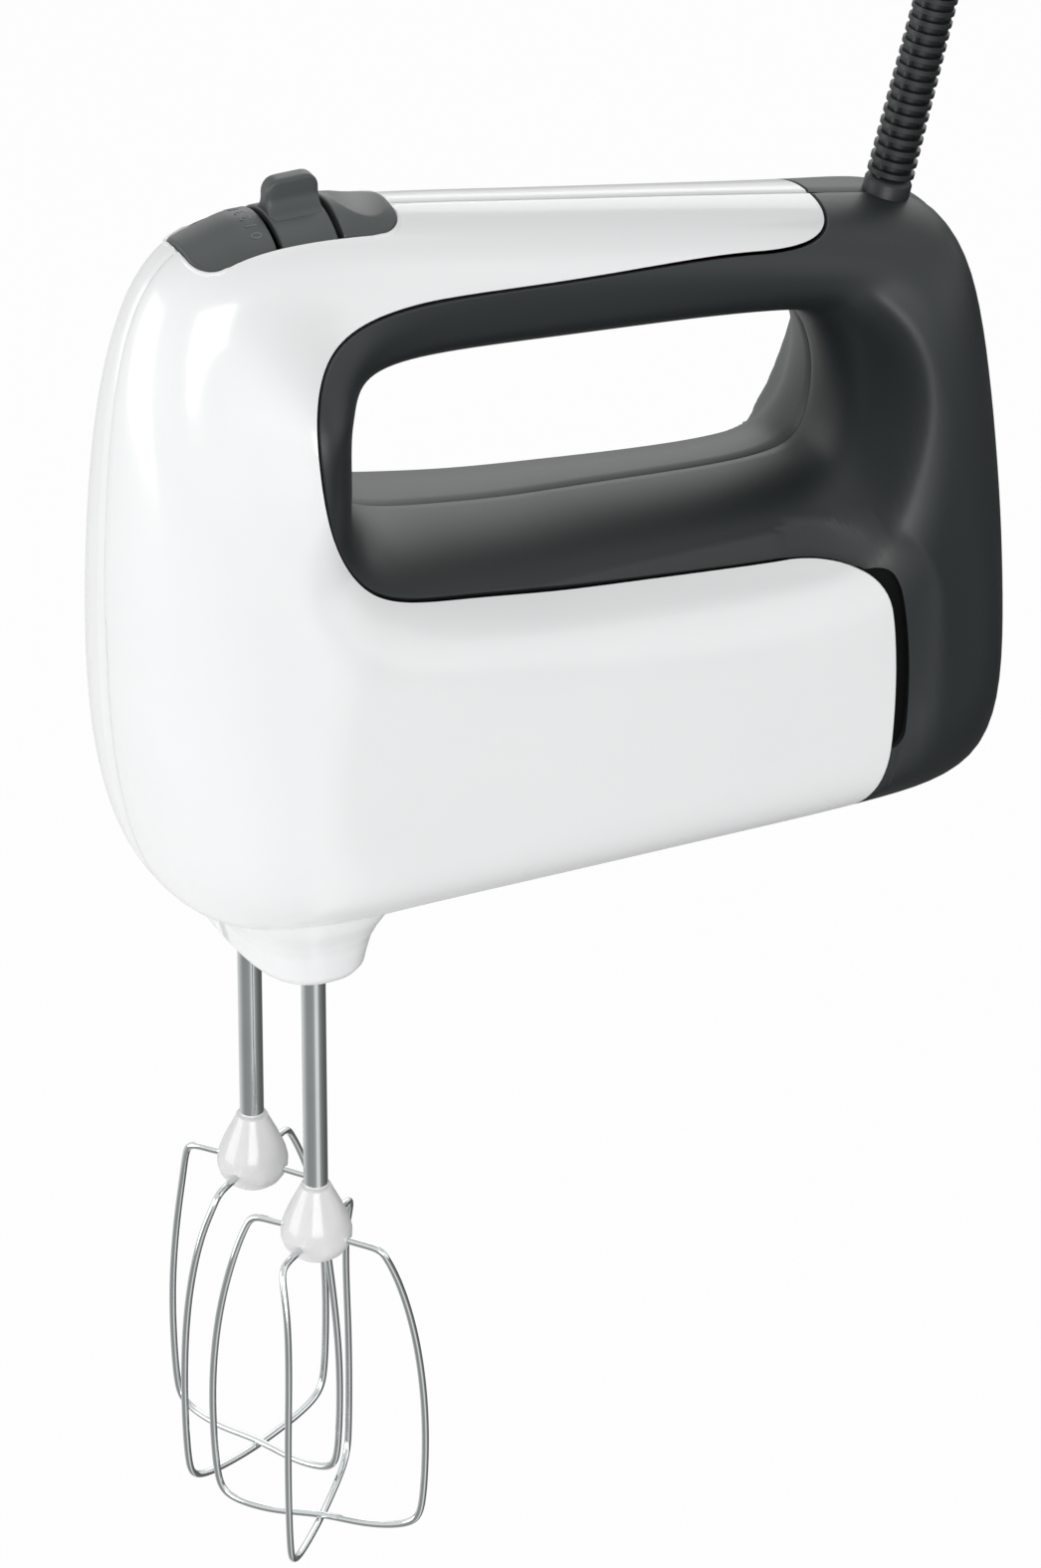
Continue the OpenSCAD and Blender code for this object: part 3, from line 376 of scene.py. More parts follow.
def lathe(profile: Sequence[tuple[float, float]], steps: int = 48) -> bmesh.types.BMesh:
    """Spin a profile of (radius, height) about Z.

    Args:
        profile: its points, in metres.
        steps: faces round the axis.

    Returns:
        The mesh, facing outward.
    """
    bm = bmesh.new()
    verts = [bm.verts.new((r, 0.0, z)) for r, z in profile]
    edges = [bm.edges.new(pair) for pair in zip(verts, verts[1:])]
    bmesh.ops.spin(bm, geom=verts + edges, cent=(0, 0, 0), axis=(0, 0, 1),
                   angle=2 * math.pi, steps=steps, use_merge=True)
    bmesh.ops.remove_doubles(bm, verts=bm.verts, dist=MERGE)
    bmesh.ops.recalc_face_normals(bm, faces=bm.faces)
    return bm


def apply_modifiers(made: bpy.types.Object) -> None:
    """Replace an object's mesh by what its modifiers make of it.

    Args:
        made: the object.
    """
    graph = bpy.context.evaluated_depsgraph_get()
    mesh = bpy.data.meshes.new_from_object(made.evaluated_get(graph))
    made.modifiers.clear()
    made.data = mesh


def combine(made: bpy.types.Object, others: Sequence[bpy.types.Object],
            operation: str = "DIFFERENCE") -> None:
    """Cut shapes out of an object, or join them to it, and drop them.

    Args:
        made: the object that is changed.
        others: the shapes, which are removed afterwards.
        operation: DIFFERENCE or UNION.
    """
    for other in others:
        step = made.modifiers.new("combine", "BOOLEAN")
        step.operation = operation
        step.solver = "MANIFOLD"
        step.object = other
    apply_modifiers(made)
    for other in others:
        bpy.data.objects.remove(other)


def column(name: str, profile: Sequence[tuple[float, float]], foot: Vector, along: Vector,
           steps: int = 40) -> bpy.types.Object:
    """A turned shape whose axis starts at a point and runs along a direction.

    Args:
        name: the object's name.
        profile: its points as (radius, distance along the axis), in metres.
        foot: the axis's start.
        along: the axis's direction.
        steps: faces round the axis.

    Returns:
        The object.
    """
    bm = lathe(profile, steps)
    turn = Vector((0, 0, 1)).rotation_difference(along).to_matrix().to_4x4()
    bmesh.ops.transform(bm, matrix=Matrix.Translation(foot) @ turn, verts=bm.verts)
    bmesh.ops.recalc_face_normals(bm, faces=bm.faces)
    return to_object(bm, name)


def soften(made: bpy.types.Object, width: float, segments: int = 2,
           angle: float = 35.0) -> None:
    """Round an object's sharp edges and keep its flat faces flat.

    Args:
        made: the object.
        width: how far the rounding reaches, in metres.
        segments: faces across the rounding.
        angle: edges sharper than this are rounded, in degrees.
    """
    bevel = made.modifiers.new("rounding", "BEVEL")
    bevel.width = width
    bevel.segments = segments
    bevel.limit_method = "ANGLE"
    bevel.angle_limit = math.radians(angle)
    bevel.use_clamp_overlap = True
    bevel.harden_normals = True


def rounded_outline(low: Point, high: Point, radius: float, steps: int = 10) -> list[Vector]:
    """Outline of a rounded rectangle, anticlockwise.

    Args:
        low: its lowest corner.
        high: its highest corner.
        radius: radius of its corners.
        steps: edges round each corner.

    Returns:
        Points at the height of low.
    """
    points = []
    left, right = low[0] + radius, high[0] - radius
    near, far = low[1] + radius, high[1] - radius
    for x, y, start in ((right, near, -90.0), (right, far, 0.0),
                        (left, far, 90.0), (left, near, 180.0)):
        for k in range(steps + 1):
            angle = math.radians(start + 90.0 * k / steps)
            point = Vector((x + radius * math.cos(angle), y + radius * math.sin(angle), low[2]))
            if not points or (point - points[-1]).length > MERGE:
                points.append(point)
    return points


def prism(name: str, outline: Sequence[Vector], low: float, high: float) -> bpy.types.Object:
    """A closed upright prism.

    Args:
        name: the object's name.
        outline: its outline.
        low: height of its foot.
        high: height of its top.

    Returns:
        The object.
    """
    bm = bmesh.new()
    face = bm.faces.new([bm.verts.new((p.x, p.y, low)) for p in outline])
    top = bmesh.ops.extrude_face_region(bm, geom=[face])
    bmesh.ops.translate(bm, vec=(0, 0, high - low),
                        verts=[g for g in top["geom"] if isinstance(g, bmesh.types.BMVert)])
    bmesh.ops.recalc_face_normals(bm, faces=bm.faces)
    return to_object(bm, name, smooth=False)


def flowing(points: Sequence[Vector], steps: int = 5) -> list[Vector]:
    """More points, along a smooth curve through the given ones.

    Args:
        points: the points to pass through.
        steps: pieces into which each stretch is cut.

    Returns:
        The curve's points.
    """
    last, made = len(points) - 1, []
    for k in range(last):
        a, b, c, d = (points[min(max(k + i, 0), last)] for i in (-1, 0, 1, 2))
        for t in (j / steps for j in range(steps)):
            made.append((b * 2 + (c - a) * t + (a * 2 - b * 5 + c * 4 - d) * t ** 2
                         + (b * 3 - a - c * 3 + d) * t ** 3) / 2)
    return [*made, points[-1]]


def wire(name: str, points: Sequence[Vector], radius: float, sides: int = 3,
         smooth_order: int = 4) -> bpy.types.Object:
    """A round bar along a smooth curve through control points.

    Args:
        name: the object's name.
        points: control points.
        radius: the bar's radius.
        sides: bevel resolution.
        smooth_order: order of the curve; 2 keeps straight pieces.

    Returns:
        The curve object.
    """
    curve = bpy.data.curves.new(name, "CURVE")
    curve.dimensions = "3D"
    curve.bevel_depth = radius
    curve.bevel_resolution = sides
    curve.use_fill_caps = True
    curve.resolution_u = 12
    curve.render_resolution_u = 12
    spline = curve.splines.new("NURBS" if smooth_order > 2 else "POLY")
    spline.points.add(len(points) - 1)
    for item, point in zip(spline.points, points):
        item.co = (*point, 1.0)
    if smooth_order > 2:
        spline.order_u = smooth_order
        spline.use_endpoint_u = True
    made = bpy.data.objects.new(name, curve)
    bpy.context.scene.collection.objects.link(made)
    return made


# ---- the body's form -----------------------------------------------------------------
class Section(NamedTuple):
    """A section across the body, from its outline to the handle opening, in millimetres."""

    x: float            # the outline's place
    z: float
    mouth_x: float      # the opening's edge
    mouth_z: float
    middle: float       # half the width along the middle
    outer_round: float  # reach of the rounding at the outline
    inner_round: float  # reach of the rounding at the opening
    edge: float         # half the width at the outline
    band: float         # how far the light shell stops short of the opening
    scoop: float        # depth of the scoop at the opening, a share of the half width

    @property
    def reach(self) -> float:
        """Distance from the outline to the opening's edge."""
        return math.hypot(self.mouth_x - self.x, self.mouth_z - self.z)


@dataclass(frozen=True)
class BodyForm:
    """The mixer's outside: sections round the handle opening, in millimetres.

    The rows of stations hold a Section's values, anticlockwise round the opening from the
    handle's rear, as the left side is seen. Along this loop t counts stations, and across it
    a share runs from the outline to the opening. A fill is a share of the light shell's width.
    """

    stations: tuple[tuple[float, ...], ...] = (
        (56, -1.5, 41, -21.5, 18.5, 13, 13, 18.5, 18.5, 0.05),
        (23.5, 5, 18, -19, 17, 13, 13, 17, 18, 0),
        (-11.5, 11.5, -13.5, -16.5, 17, 14, 14, 17, 17, 0),
        (-42, 17.5, -46.5, -12.5, 22, 15, 16, 17, 16.5, 0),
        (-67.5, 21.5, -60.5, -14.5, 32.5, 18, 24, 16.5, 16, 0),
        (-91, 19.5, -60.5, -25, 38, 21, 27, 16.5, 25, 0),
        (-101.5, 1, -59, -33, 39, 39, 27, 20, 20.5, 0),
        (-105, -30.5, -58.5, -40, 39, 54, 27, 38, 10.5, 0),
        (-106.5, -66.5, -55, -45, 40, 55, 28, 40, 9.5, 0),
        (-104.5, -103.5, -47.5, -48.5, 40, 50, 27, 40, 8, 0),
        (-93.5, -132, -35, -50.5, 40, 35, 26, 40, 7.5, 0.05),
        (-61, -130, -17.5, -53, 39.5, 27, 27, 40, 8, 0.08),
        (-22.5, -131.5, 0, -54, 39.5, 27, 30, 40, 8.5, 0.1),
        (18, -132.5, 22, -56, 38.5, 26, 31, 39, 9, 0.12),
        (56.5, -133.5, 44.5, -57, 37.5, 26, 30, 38, 10, 0.16),
        (84, -132, 49, -51.5, 34.5, 26, 27, 35, 9, 0.22),
        (87, -97, 50.5, -44, 33, 24, 26, 33, 10, 0.28),
        (87, -52.5, 50.5, -35.5, 31, 22, 20, 31, 12, 0.3),
        (82.5, -13, 47.5, -26.5, 26, 18, 16, 26, 12, 0.28),
        (72.5, -4.5, 44, -23, 20, 16, 14, 20, 16, 0.15))
    cap: float = 0.14             # station at which the light shell ends on the handle
    cap_round: float = 0.55       # how far that end is rounded, in stations
    rear: float = 13.75           # station of the light shell's rear edge
    rear_lean: float = 0.75       # how far that edge leans, in stations
    corner_t: float = 1.1         # how far its upper corner is rounded, in stations
    corner_from: float = 0.8      # the fill from which it is rounded
    power: float = 2.2            # exponent of the rounding across a section
    neck_depth: float = 9.0       # distance at which the width starts to grow
    neck_flare: float = 28.0      # distance over which it grows
    seam: float = 0.05            # half the gap between the left and right halves
    gap: float = 0.6              # gap between the light and dark shells
    heel: float = 85.8            # the flat of the heel
    lip: float = 5.0              # width of the lip between the scoop and the opening
    scoop_reach: float = 9.0      # width over which the scoop falls away
    scoop_power: float = 1.6      # exponent of its profile
    vent: float = 3.2 / 15        # the cooling slot's width, in stations
    vent_share: tuple[float, float] = (0.26, 1.3)   # share of it at the foot, and its growth
    vent_span: tuple[float, float] = (0.3, 0.935)   # the fills between which the slot runs
    vent_round: float = 0.07      # fill over which its ends are rounded
    station_length: float = 30.0  # length of a station along the light shell's edges
    mouth_rear: float = 1.4       # how far the dark shell's inner rim is turned, in stations:
    mouth_side: float = 0.1       # against its outer rim at the rear, along the side
    mouth_cap: float = 0.6        # and at the cap

    @property
    def count(self) -> int:
        """Number of stations round the loop."""
        return len(self.stations)

    def station(self, t: float) -> Section:
        """Interpolate a section on the closed cubic spline.

        Args:
            t: the station's number, which may be fractional.

        Returns:
            The section.
        """
        n, i = self.count, math.floor(t)
        u = t - i
        rows = [self.stations[(i + k) % n] for k in (-1, 0, 1, 2)]
        weights = ((1 - u) ** 3, 3 * u ** 3 - 6 * u ** 2 + 4,
                   -3 * u ** 3 + 3 * u ** 2 + 3 * u + 1, u ** 3)
        return Section(*(sum(w * row[c] for w, row in zip(weights, rows)) / 6
                         for c in range(len(rows[0]))))

    def rounded(self, q: float) -> float:
        """Height of the rounded edge's superellipse, a share q of the way across it."""
        inner = 1 - min(max(q, 0.0), 1.0)
        return (1 - inner ** self.power) ** (1 / self.power)

    def skin(self, t: float, s: float, inset: float = 0.0, side: int = -1) -> Vector:
        """A point of the outside.

        Args:
            t: the station.
            s: share of the way from the outline to the opening.
            inset: millimetres below the surface.
            side: -1 for the left half, 1 for the right.

        Returns:
            The point, in metres.
        """
        at = self.station(t)
        reach = at.reach
        usable = reach - 2 * inset
        d = s * usable
        grown = smooth((d - self.neck_depth) / self.neck_flare)
        half = at.edge - inset + (at.middle - at.edge) * grown
        w = min(max((usable - d - self.lip) / self.scoop_reach, 0.0), 1.0)
        half *= 1 - at.scoop * (1 - w ** self.scoop_power) ** self.scoop_power
        y = (half * self.rounded(d / (at.outer_round - inset))
             * self.rounded((usable - d) / (at.inner_round - inset)))
        x = min(at.x + (at.mouth_x - at.x) / reach * (d + inset), self.heel - inset)
        z = at.z + (at.mouth_z - at.z) / reach * (d + inset)
        return Vector((x, side * (self.seam + y), z)) * MM

    def edge_share(self, t: float, offset: float) -> float:
        """Share of the way at which the light shell stops, offset nearer the opening."""
        at = self.station(t)
        return 1 - (at.band - offset) / at.reach

    def rear_edge(self, fill: float) -> float:
        """Station of the light shell's rear edge at a share fill of its width."""
        corner = turned((fill - self.corner_from) / (1 - self.corner_from))
        return self.rear + self.rear_lean * fill - self.corner_t * corner

    def cap_edge(self, fill: float) -> float:
        """Station of the light shell's end on the handle at a share fill of its width."""
        return self.cap + self.cap_round * turned(fill)

    def vent_at(self, fill: float) -> float:
        """Width of the cooling slot.

        Args:
            fill: share of the light shell's width at which it is taken.

        Returns:
            The width, in stations.
        """
        low, high = self.vent_span
        near = min(max(min(fill - low, high - fill) / self.vent_round, 0.0), 1.0)
        foot_share, gain = self.vent_share
        return self.vent * (foot_share + gain * fill) * math.sqrt(1 - (1 - near) ** 2)

    @property
    def half_gap_t(self) -> float:
        """Half the gap between the shells, in stations."""
        return self.gap / 2 / self.station_length

    def light_point(self, u: float, v: float, inset: float, side: int) -> Vector:
        """A point of the light shell.

        Args:
            u: share of the way from the rear edge to the cap.
            v: share of the way from the outline to the shell's edge.
            inset: millimetres below the surface.
            side: -1 for the left half, 1 for the right.

        Returns:
            The point, in metres.
        """
        start = self.rear_edge(v) - self.half_gap_t
        end = self.cap_edge(v) + self.half_gap_t
        t = start + (end - start) * u
        return self.skin(t, self.edge_share(t, -self.gap / 2) * v, inset, side)

    def dark_point(self, u: float, v: float, inset: float, side: int) -> Vector:
        """A point of the dark shell.

        Args:
            u: share of the way round its loop.
            v: share of the way from its outer rim to the opening.
            inset: millimetres below the surface.
            side: -1 for the left half, 1 for the right.

        Returns:
            The point, in metres.
        """
        rear, ring, cap, heel = 0.2, 0.68, 0.82, 1.0  # where each stretch of the loop ends
        if u < rear:
            fill = (1 - math.cos(math.pi * u / rear)) / 2
            edge = self.rear_edge(fill) + self.half_gap_t
        elif u <= ring:
            fill = 1.0
            edge = lookup(u, ((rear, self.rear_edge(1)), (ring, self.cap_edge(1))))
        elif u < cap:
            fill = (1 + math.cos(math.pi * (u - ring) / (cap - ring))) / 2
            edge = self.cap_edge(fill) - self.half_gap_t
        else:
            fill = 0.0
            edge = lookup(u, ((cap, self.cap - self.half_gap_t),
                              (heel, self.rear + self.half_gap_t - self.count)))
        start = self.rear + self.mouth_rear
        mouth = lookup(u, ((0, start), (rear, self.rear_edge(1) + self.mouth_side),
                           (ring, self.cap_edge(1) - self.mouth_side),
                           (cap, self.cap - self.mouth_cap), (heel, start - self.count)))
        t = edge + (mouth - edge) * v
        low = fill * self.edge_share(edge, self.gap / 2)
        return self.skin(t, low + (1 - low) * v, inset, side)


def smooth(v: float) -> float:
    """Ease from 0 to 1."""
    v = min(max(v, 0.0), 1.0)
    return v * v * (3 - 2 * v)


def turned(q: float) -> float:
    """Fall of a quarter circle at a share q of its radius."""
    return 1 - math.sqrt(1 - min(max(q, 0.0), 1.0) ** 2)


def lookup(x: float, table: Sequence[tuple[float, float]]) -> float:
    """Interpolate in a table of (x, value).

    Args:
        x: where to read.
        table: rows in rising order of x.

    Returns:
        The value.
    """
    if x <= table[0][0]:
        return table[0][1]
    for (x0, y0), (x1, y1) in zip(table, table[1:]):
        if x <= x1:
            return y0 + (y1 - y0) * (x - x0) / (x1 - x0)
    return table[-1][1]


FORM = BodyForm()


@dataclass(frozen=True)
class Deck:
    """The opening for the controls and the crown that they share, in millimetres."""

    front: float = -88.5        # the opening's ends
    rear: float = -43.5
    half: float = 10.0          # half its width
    corner: float = 6.0         # radius of its corners
    axis_z: float = 7.4         # height of the crown's axis
    radius: float = 14.0        # radius of the crown
    play: float = 0.3           # gap round the controls
    panel_rear: float = -71.5   # the dial panel's rear edge
    panel_level: float = 5.0    # length of its level part
    panel_fall: float = 17.0    # slope of the rest, in degrees
    selector: tuple[float, float] = (-70.3, -58.5)  # the selector's front and rear
    turbo_front: float = -57.3  # the turbo button's front edge
    turbo_level: float = 2.0    # length of its level part
    turbo_fall: float = 14.0    # slope of the rest, in degrees
    crease: float = 0.3         # softness of both creases

    def outline(self, shrink: float = 0.0, steps: int = 12) -> list[Vector]:
        """The opening's outline, shrunk.

        Args:
            shrink: how far it is shrunk.
            steps: edges round each corner.

        Returns:
            Points in millimetres.
        """
        return rounded_outline((self.front + shrink, shrink - self.half, 0.0),
                               (self.rear - shrink, self.half - shrink, 0.0),
                               self.corner - shrink, steps)

    def crown(self, y: float, fall: float = 0.0, past: float = 0.0) -> float:
        """Height of the crown, which falls away by an angle past its level part.

        Args:
            y: distance from the middle plane.
            fall: the slope of the falling part, in degrees.
            past: distance past the level part.

        Returns:
            The height.
        """
        arch = math.sqrt(self.radius ** 2 - min(abs(y), self.radius) ** 2)
        level = self.axis_z + arch
        if not fall:
            return level
        angle = math.radians(fall)
        down = (self.axis_z + self.radius
                + (arch - self.radius - past * math.sin(angle)) / math.cos(angle))
        low, high = min(level, down), max(level, down)
        return low - self.crease * math.log1p(math.exp((low - high) / self.crease))


DECK = Deck()


def adopt(made: bpy.types.Object, body: Body, slot: str, finish: bpy.types.Material,
          *nodes: str) -> None:
    """Put a new piece on its body in place of its solids.

    Args:
        made: the piece.
        body: the body that it rides on.
        slot: its material slot in the record; not used.
        finish: its material.
        nodes: the solids that it stands for.
    """
    made.data.materials.clear()
    made.data.materials.append(finish)
    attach(made, body.value)
    if nodes:
        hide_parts(*nodes)
    LOG.info("piece %s rides on %s", made.name, body.value)


# ---- camera, light and floor ---------------------------------------------------------
@dataclass
class Studio:
    """The camera, lamps and floor, in metres.

    Each lamp is a name, a place, a width and height in metres and a power in watts. The sweep
    is the brightness that mirrors see on the floor, by the direction in degrees.
    """

    azimuth: float = -26.2            # the camera's turn from the left side, in degrees
    elevation: float = 29.5           # its height, in degrees
    distance: float = 1.94            # from the target
    target: Point = (-0.0145, 0.0, -0.120)
    sensor: float = 36.0              # height of the sensor, in millimetres
    lens: float = 219.42857           # focal length
    aim: Point = (-0.02, 0.0, -0.1)   # what the lamps point at
    world_light: float = 0.42         # strength of the world's light
    floor_z: float = -0.62            # height of the floor
    floor_half: float = 9.0           # half its width
    floor_glow: float = 0.95          # how far the floor shows its own white
    lamps: tuple[tuple[str, Point, float, float, float], ...] = (
        ("key", (-0.8, -1.95, 0.35), 1.4, 1.0, 21.5),
        ("left", (-1.65, 0.45, 0.1), 1.2, 1.2, 12.0),
        ("fill", (1.5, -1.4, 0.6), 1.4, 1.2, 3.0),
        ("top", (0.35, 0.2, 1.8), 1.6, 1.2, 6.0),
        ("rim", (0.9, 1.6, 0.7), 1.2, 1.0, 6.0))
    sweep: tuple[tuple[float, float], ...] = (
        (-180, 0.34), (-135, 0.36), (-116, 0.5), (-106, 1.0), (-84, 1.0), (-72, 0.42), (-45, 0.2),
        (-10, 0.12), (10, 0.1), (45, 0.14), (75, 0.7), (100, 0.9), (130, 0.8), (158, 0.5),
        (180, 0.34))

    def camera(self) -> None:
        """Make the camera."""
        data = bpy.data.cameras.new("camera")
        data.sensor_fit = "VERTICAL"
        data.sensor_height = self.sensor
        data.lens = self.lens
        data.clip_end = 20.0
        made = bpy.data.objects.new("camera", data)
        bpy.context.scene.collection.objects.link(made)
        az, el = math.radians(self.azimuth), math.radians(self.elevation)
        back = Vector((math.sin(az) * math.cos(el), -math.cos(az) * math.cos(el),
                       math.sin(el)))
        made.location = Vector(self.target) + back * self.distance
        made.rotation_euler = back.to_track_quat("Z", "Y").to_euler()
        bpy.context.scene.camera = made

    def light(self) -> None:
        """Make the lamps and the world."""
        for name, place, width, height, power in self.lamps:
            data = bpy.data.lights.new(name, "AREA")
            data.shape = "RECTANGLE"
            data.size, data.size_y = width, height
            data.energy = power
            made = bpy.data.objects.new(name, data)
            bpy.context.scene.collection.objects.link(made)
            made.location = place
            away = Vector(place) - Vector(self.aim)
            made.rotation_euler = away.to_track_quat("Z", "Y").to_euler()
        world = bpy.data.worlds.new("studio")
        bpy.context.scene.world = world
        world.use_nodes = True
        nodes, links = world.node_tree.nodes, world.node_tree.links
        back = nodes["Background"]
        back.inputs["Color"].default_value = (1.0, 1.0, 1.0, 1.0)
        links.new(seen_directly(nodes, links, 1.0, self.world_light), back.inputs["Strength"])

    def floor(self) -> None:
        """Make a white floor that keeps a faint shadow."""
        bm = bmesh.new()
        bmesh.ops.create_grid(bm, x_segments=2, y_segments=2, size=self.floor_half)
        bmesh.ops.translate(bm, verts=bm.verts, vec=(0, 0, self.floor_z))
        made = to_object(bm, "floor", smooth=False)
        material = bpy.data.materials.new("paper_floor")
        material.use_nodes = True
        nodes, links = material.node_tree.nodes, material.node_tree.links
        shader = nodes["Principled BSDF"]
        shader.inputs["Base Color"].default_value = (0.9, 0.9, 0.9, 1.0)
        shader.inputs["Roughness"].default_value = 0.9
        glow = nodes.new("ShaderNodeEmission")
        links.new(self._swept(nodes, links), glow.inputs["Strength"])
        mix = nodes.new("ShaderNodeMixShader")
        links.new(seen_directly(nodes, links, self.floor_glow, 0.0), mix.inputs["Fac"])
        links.new(shader.outputs["BSDF"], mix.inputs[1])
        links.new(glow.outputs["Emission"], mix.inputs[2])
        links.new(mix.outputs["Shader"], nodes["Material Output"].inputs["Surface"])
        made.data.materials.append(material)

    def _swept(self, nodes: bpy.types.Nodes, links: bpy.types.NodeLinks) -> bpy.types.NodeSocket:
        """How bright the floor is: white to the camera, and a lit sweep in mirrors.

        Args:
            nodes: the tree's nodes.
            links: the tree's links.

        Returns:
            The output socket.
        """
        place = nodes.new("ShaderNodeTexCoord")
        split = nodes.new("ShaderNodeSeparateXYZ")
        links.new(place.outputs["Object"], split.inputs["Vector"])
        angle = nodes.new("ShaderNodeMath")
        angle.operation = "ARCTAN2"
        links.new(split.outputs["Y"], angle.inputs[0])
        links.new(split.outputs["X"], angle.inputs[1])
        turn = nodes.new("ShaderNodeMapRange")
        turn.inputs["From Min"].default_value = -math.pi
        turn.inputs["From Max"].default_value = math.pi
        links.new(angle.outputs["Value"], turn.inputs["Value"])
        ramp = nodes.new("ShaderNodeValToRGB")
        stops = ramp.color_ramp.elements
        while len(stops) < len(self.sweep):
            stops.new(0.5)
        for stop, (degrees, level) in zip(stops, self.sweep):
            stop.position = (degrees + 180) / 360
            stop.color = (level, level, level, 1.0)
        links.new(turn.outputs["Result"], ramp.inputs["Fac"])
        path = nodes.new("ShaderNodeLightPath")
        pick = nodes.new("ShaderNodeMix")
        links.new(path.outputs["Is Glossy Ray"], pick.inputs["Factor"])
        pick.inputs["A"].default_value = 1.0
        links.new(ramp.outputs["Color"], pick.inputs["B"])
        return pick.outputs["Result"]


def seen_directly(nodes: bpy.types.Nodes, links: bpy.types.NodeLinks, seen: float,
                  other: float) -> bpy.types.NodeSocket:
    """A value that is one thing to the camera, mirrors and glass and another to the rest.

    Args:
        nodes: the tree's nodes.
        links: the tree's links.
        seen: the value for camera, glossy and transmission rays.
        other: the value for all other rays.

    Returns:
        The output socket.
    """
    path = nodes.new("ShaderNodeLightPath")
    total = path.outputs["Is Camera Ray"]
    for kind in ("Is Glossy Ray", "Is Transmission Ray"):
        join = nodes.new("ShaderNodeMath")
        join.operation = "MAXIMUM"
        links.new(total, join.inputs[0])
        links.new(path.outputs[kind], join.inputs[1])
        total = join.outputs[0]
    level = nodes.new("ShaderNodeMapRange")
    links.new(total, level.inputs["Value"])
    level.inputs["To Min"].default_value = other
    level.inputs["To Max"].default_value = seen
    return level.outputs["Result"]


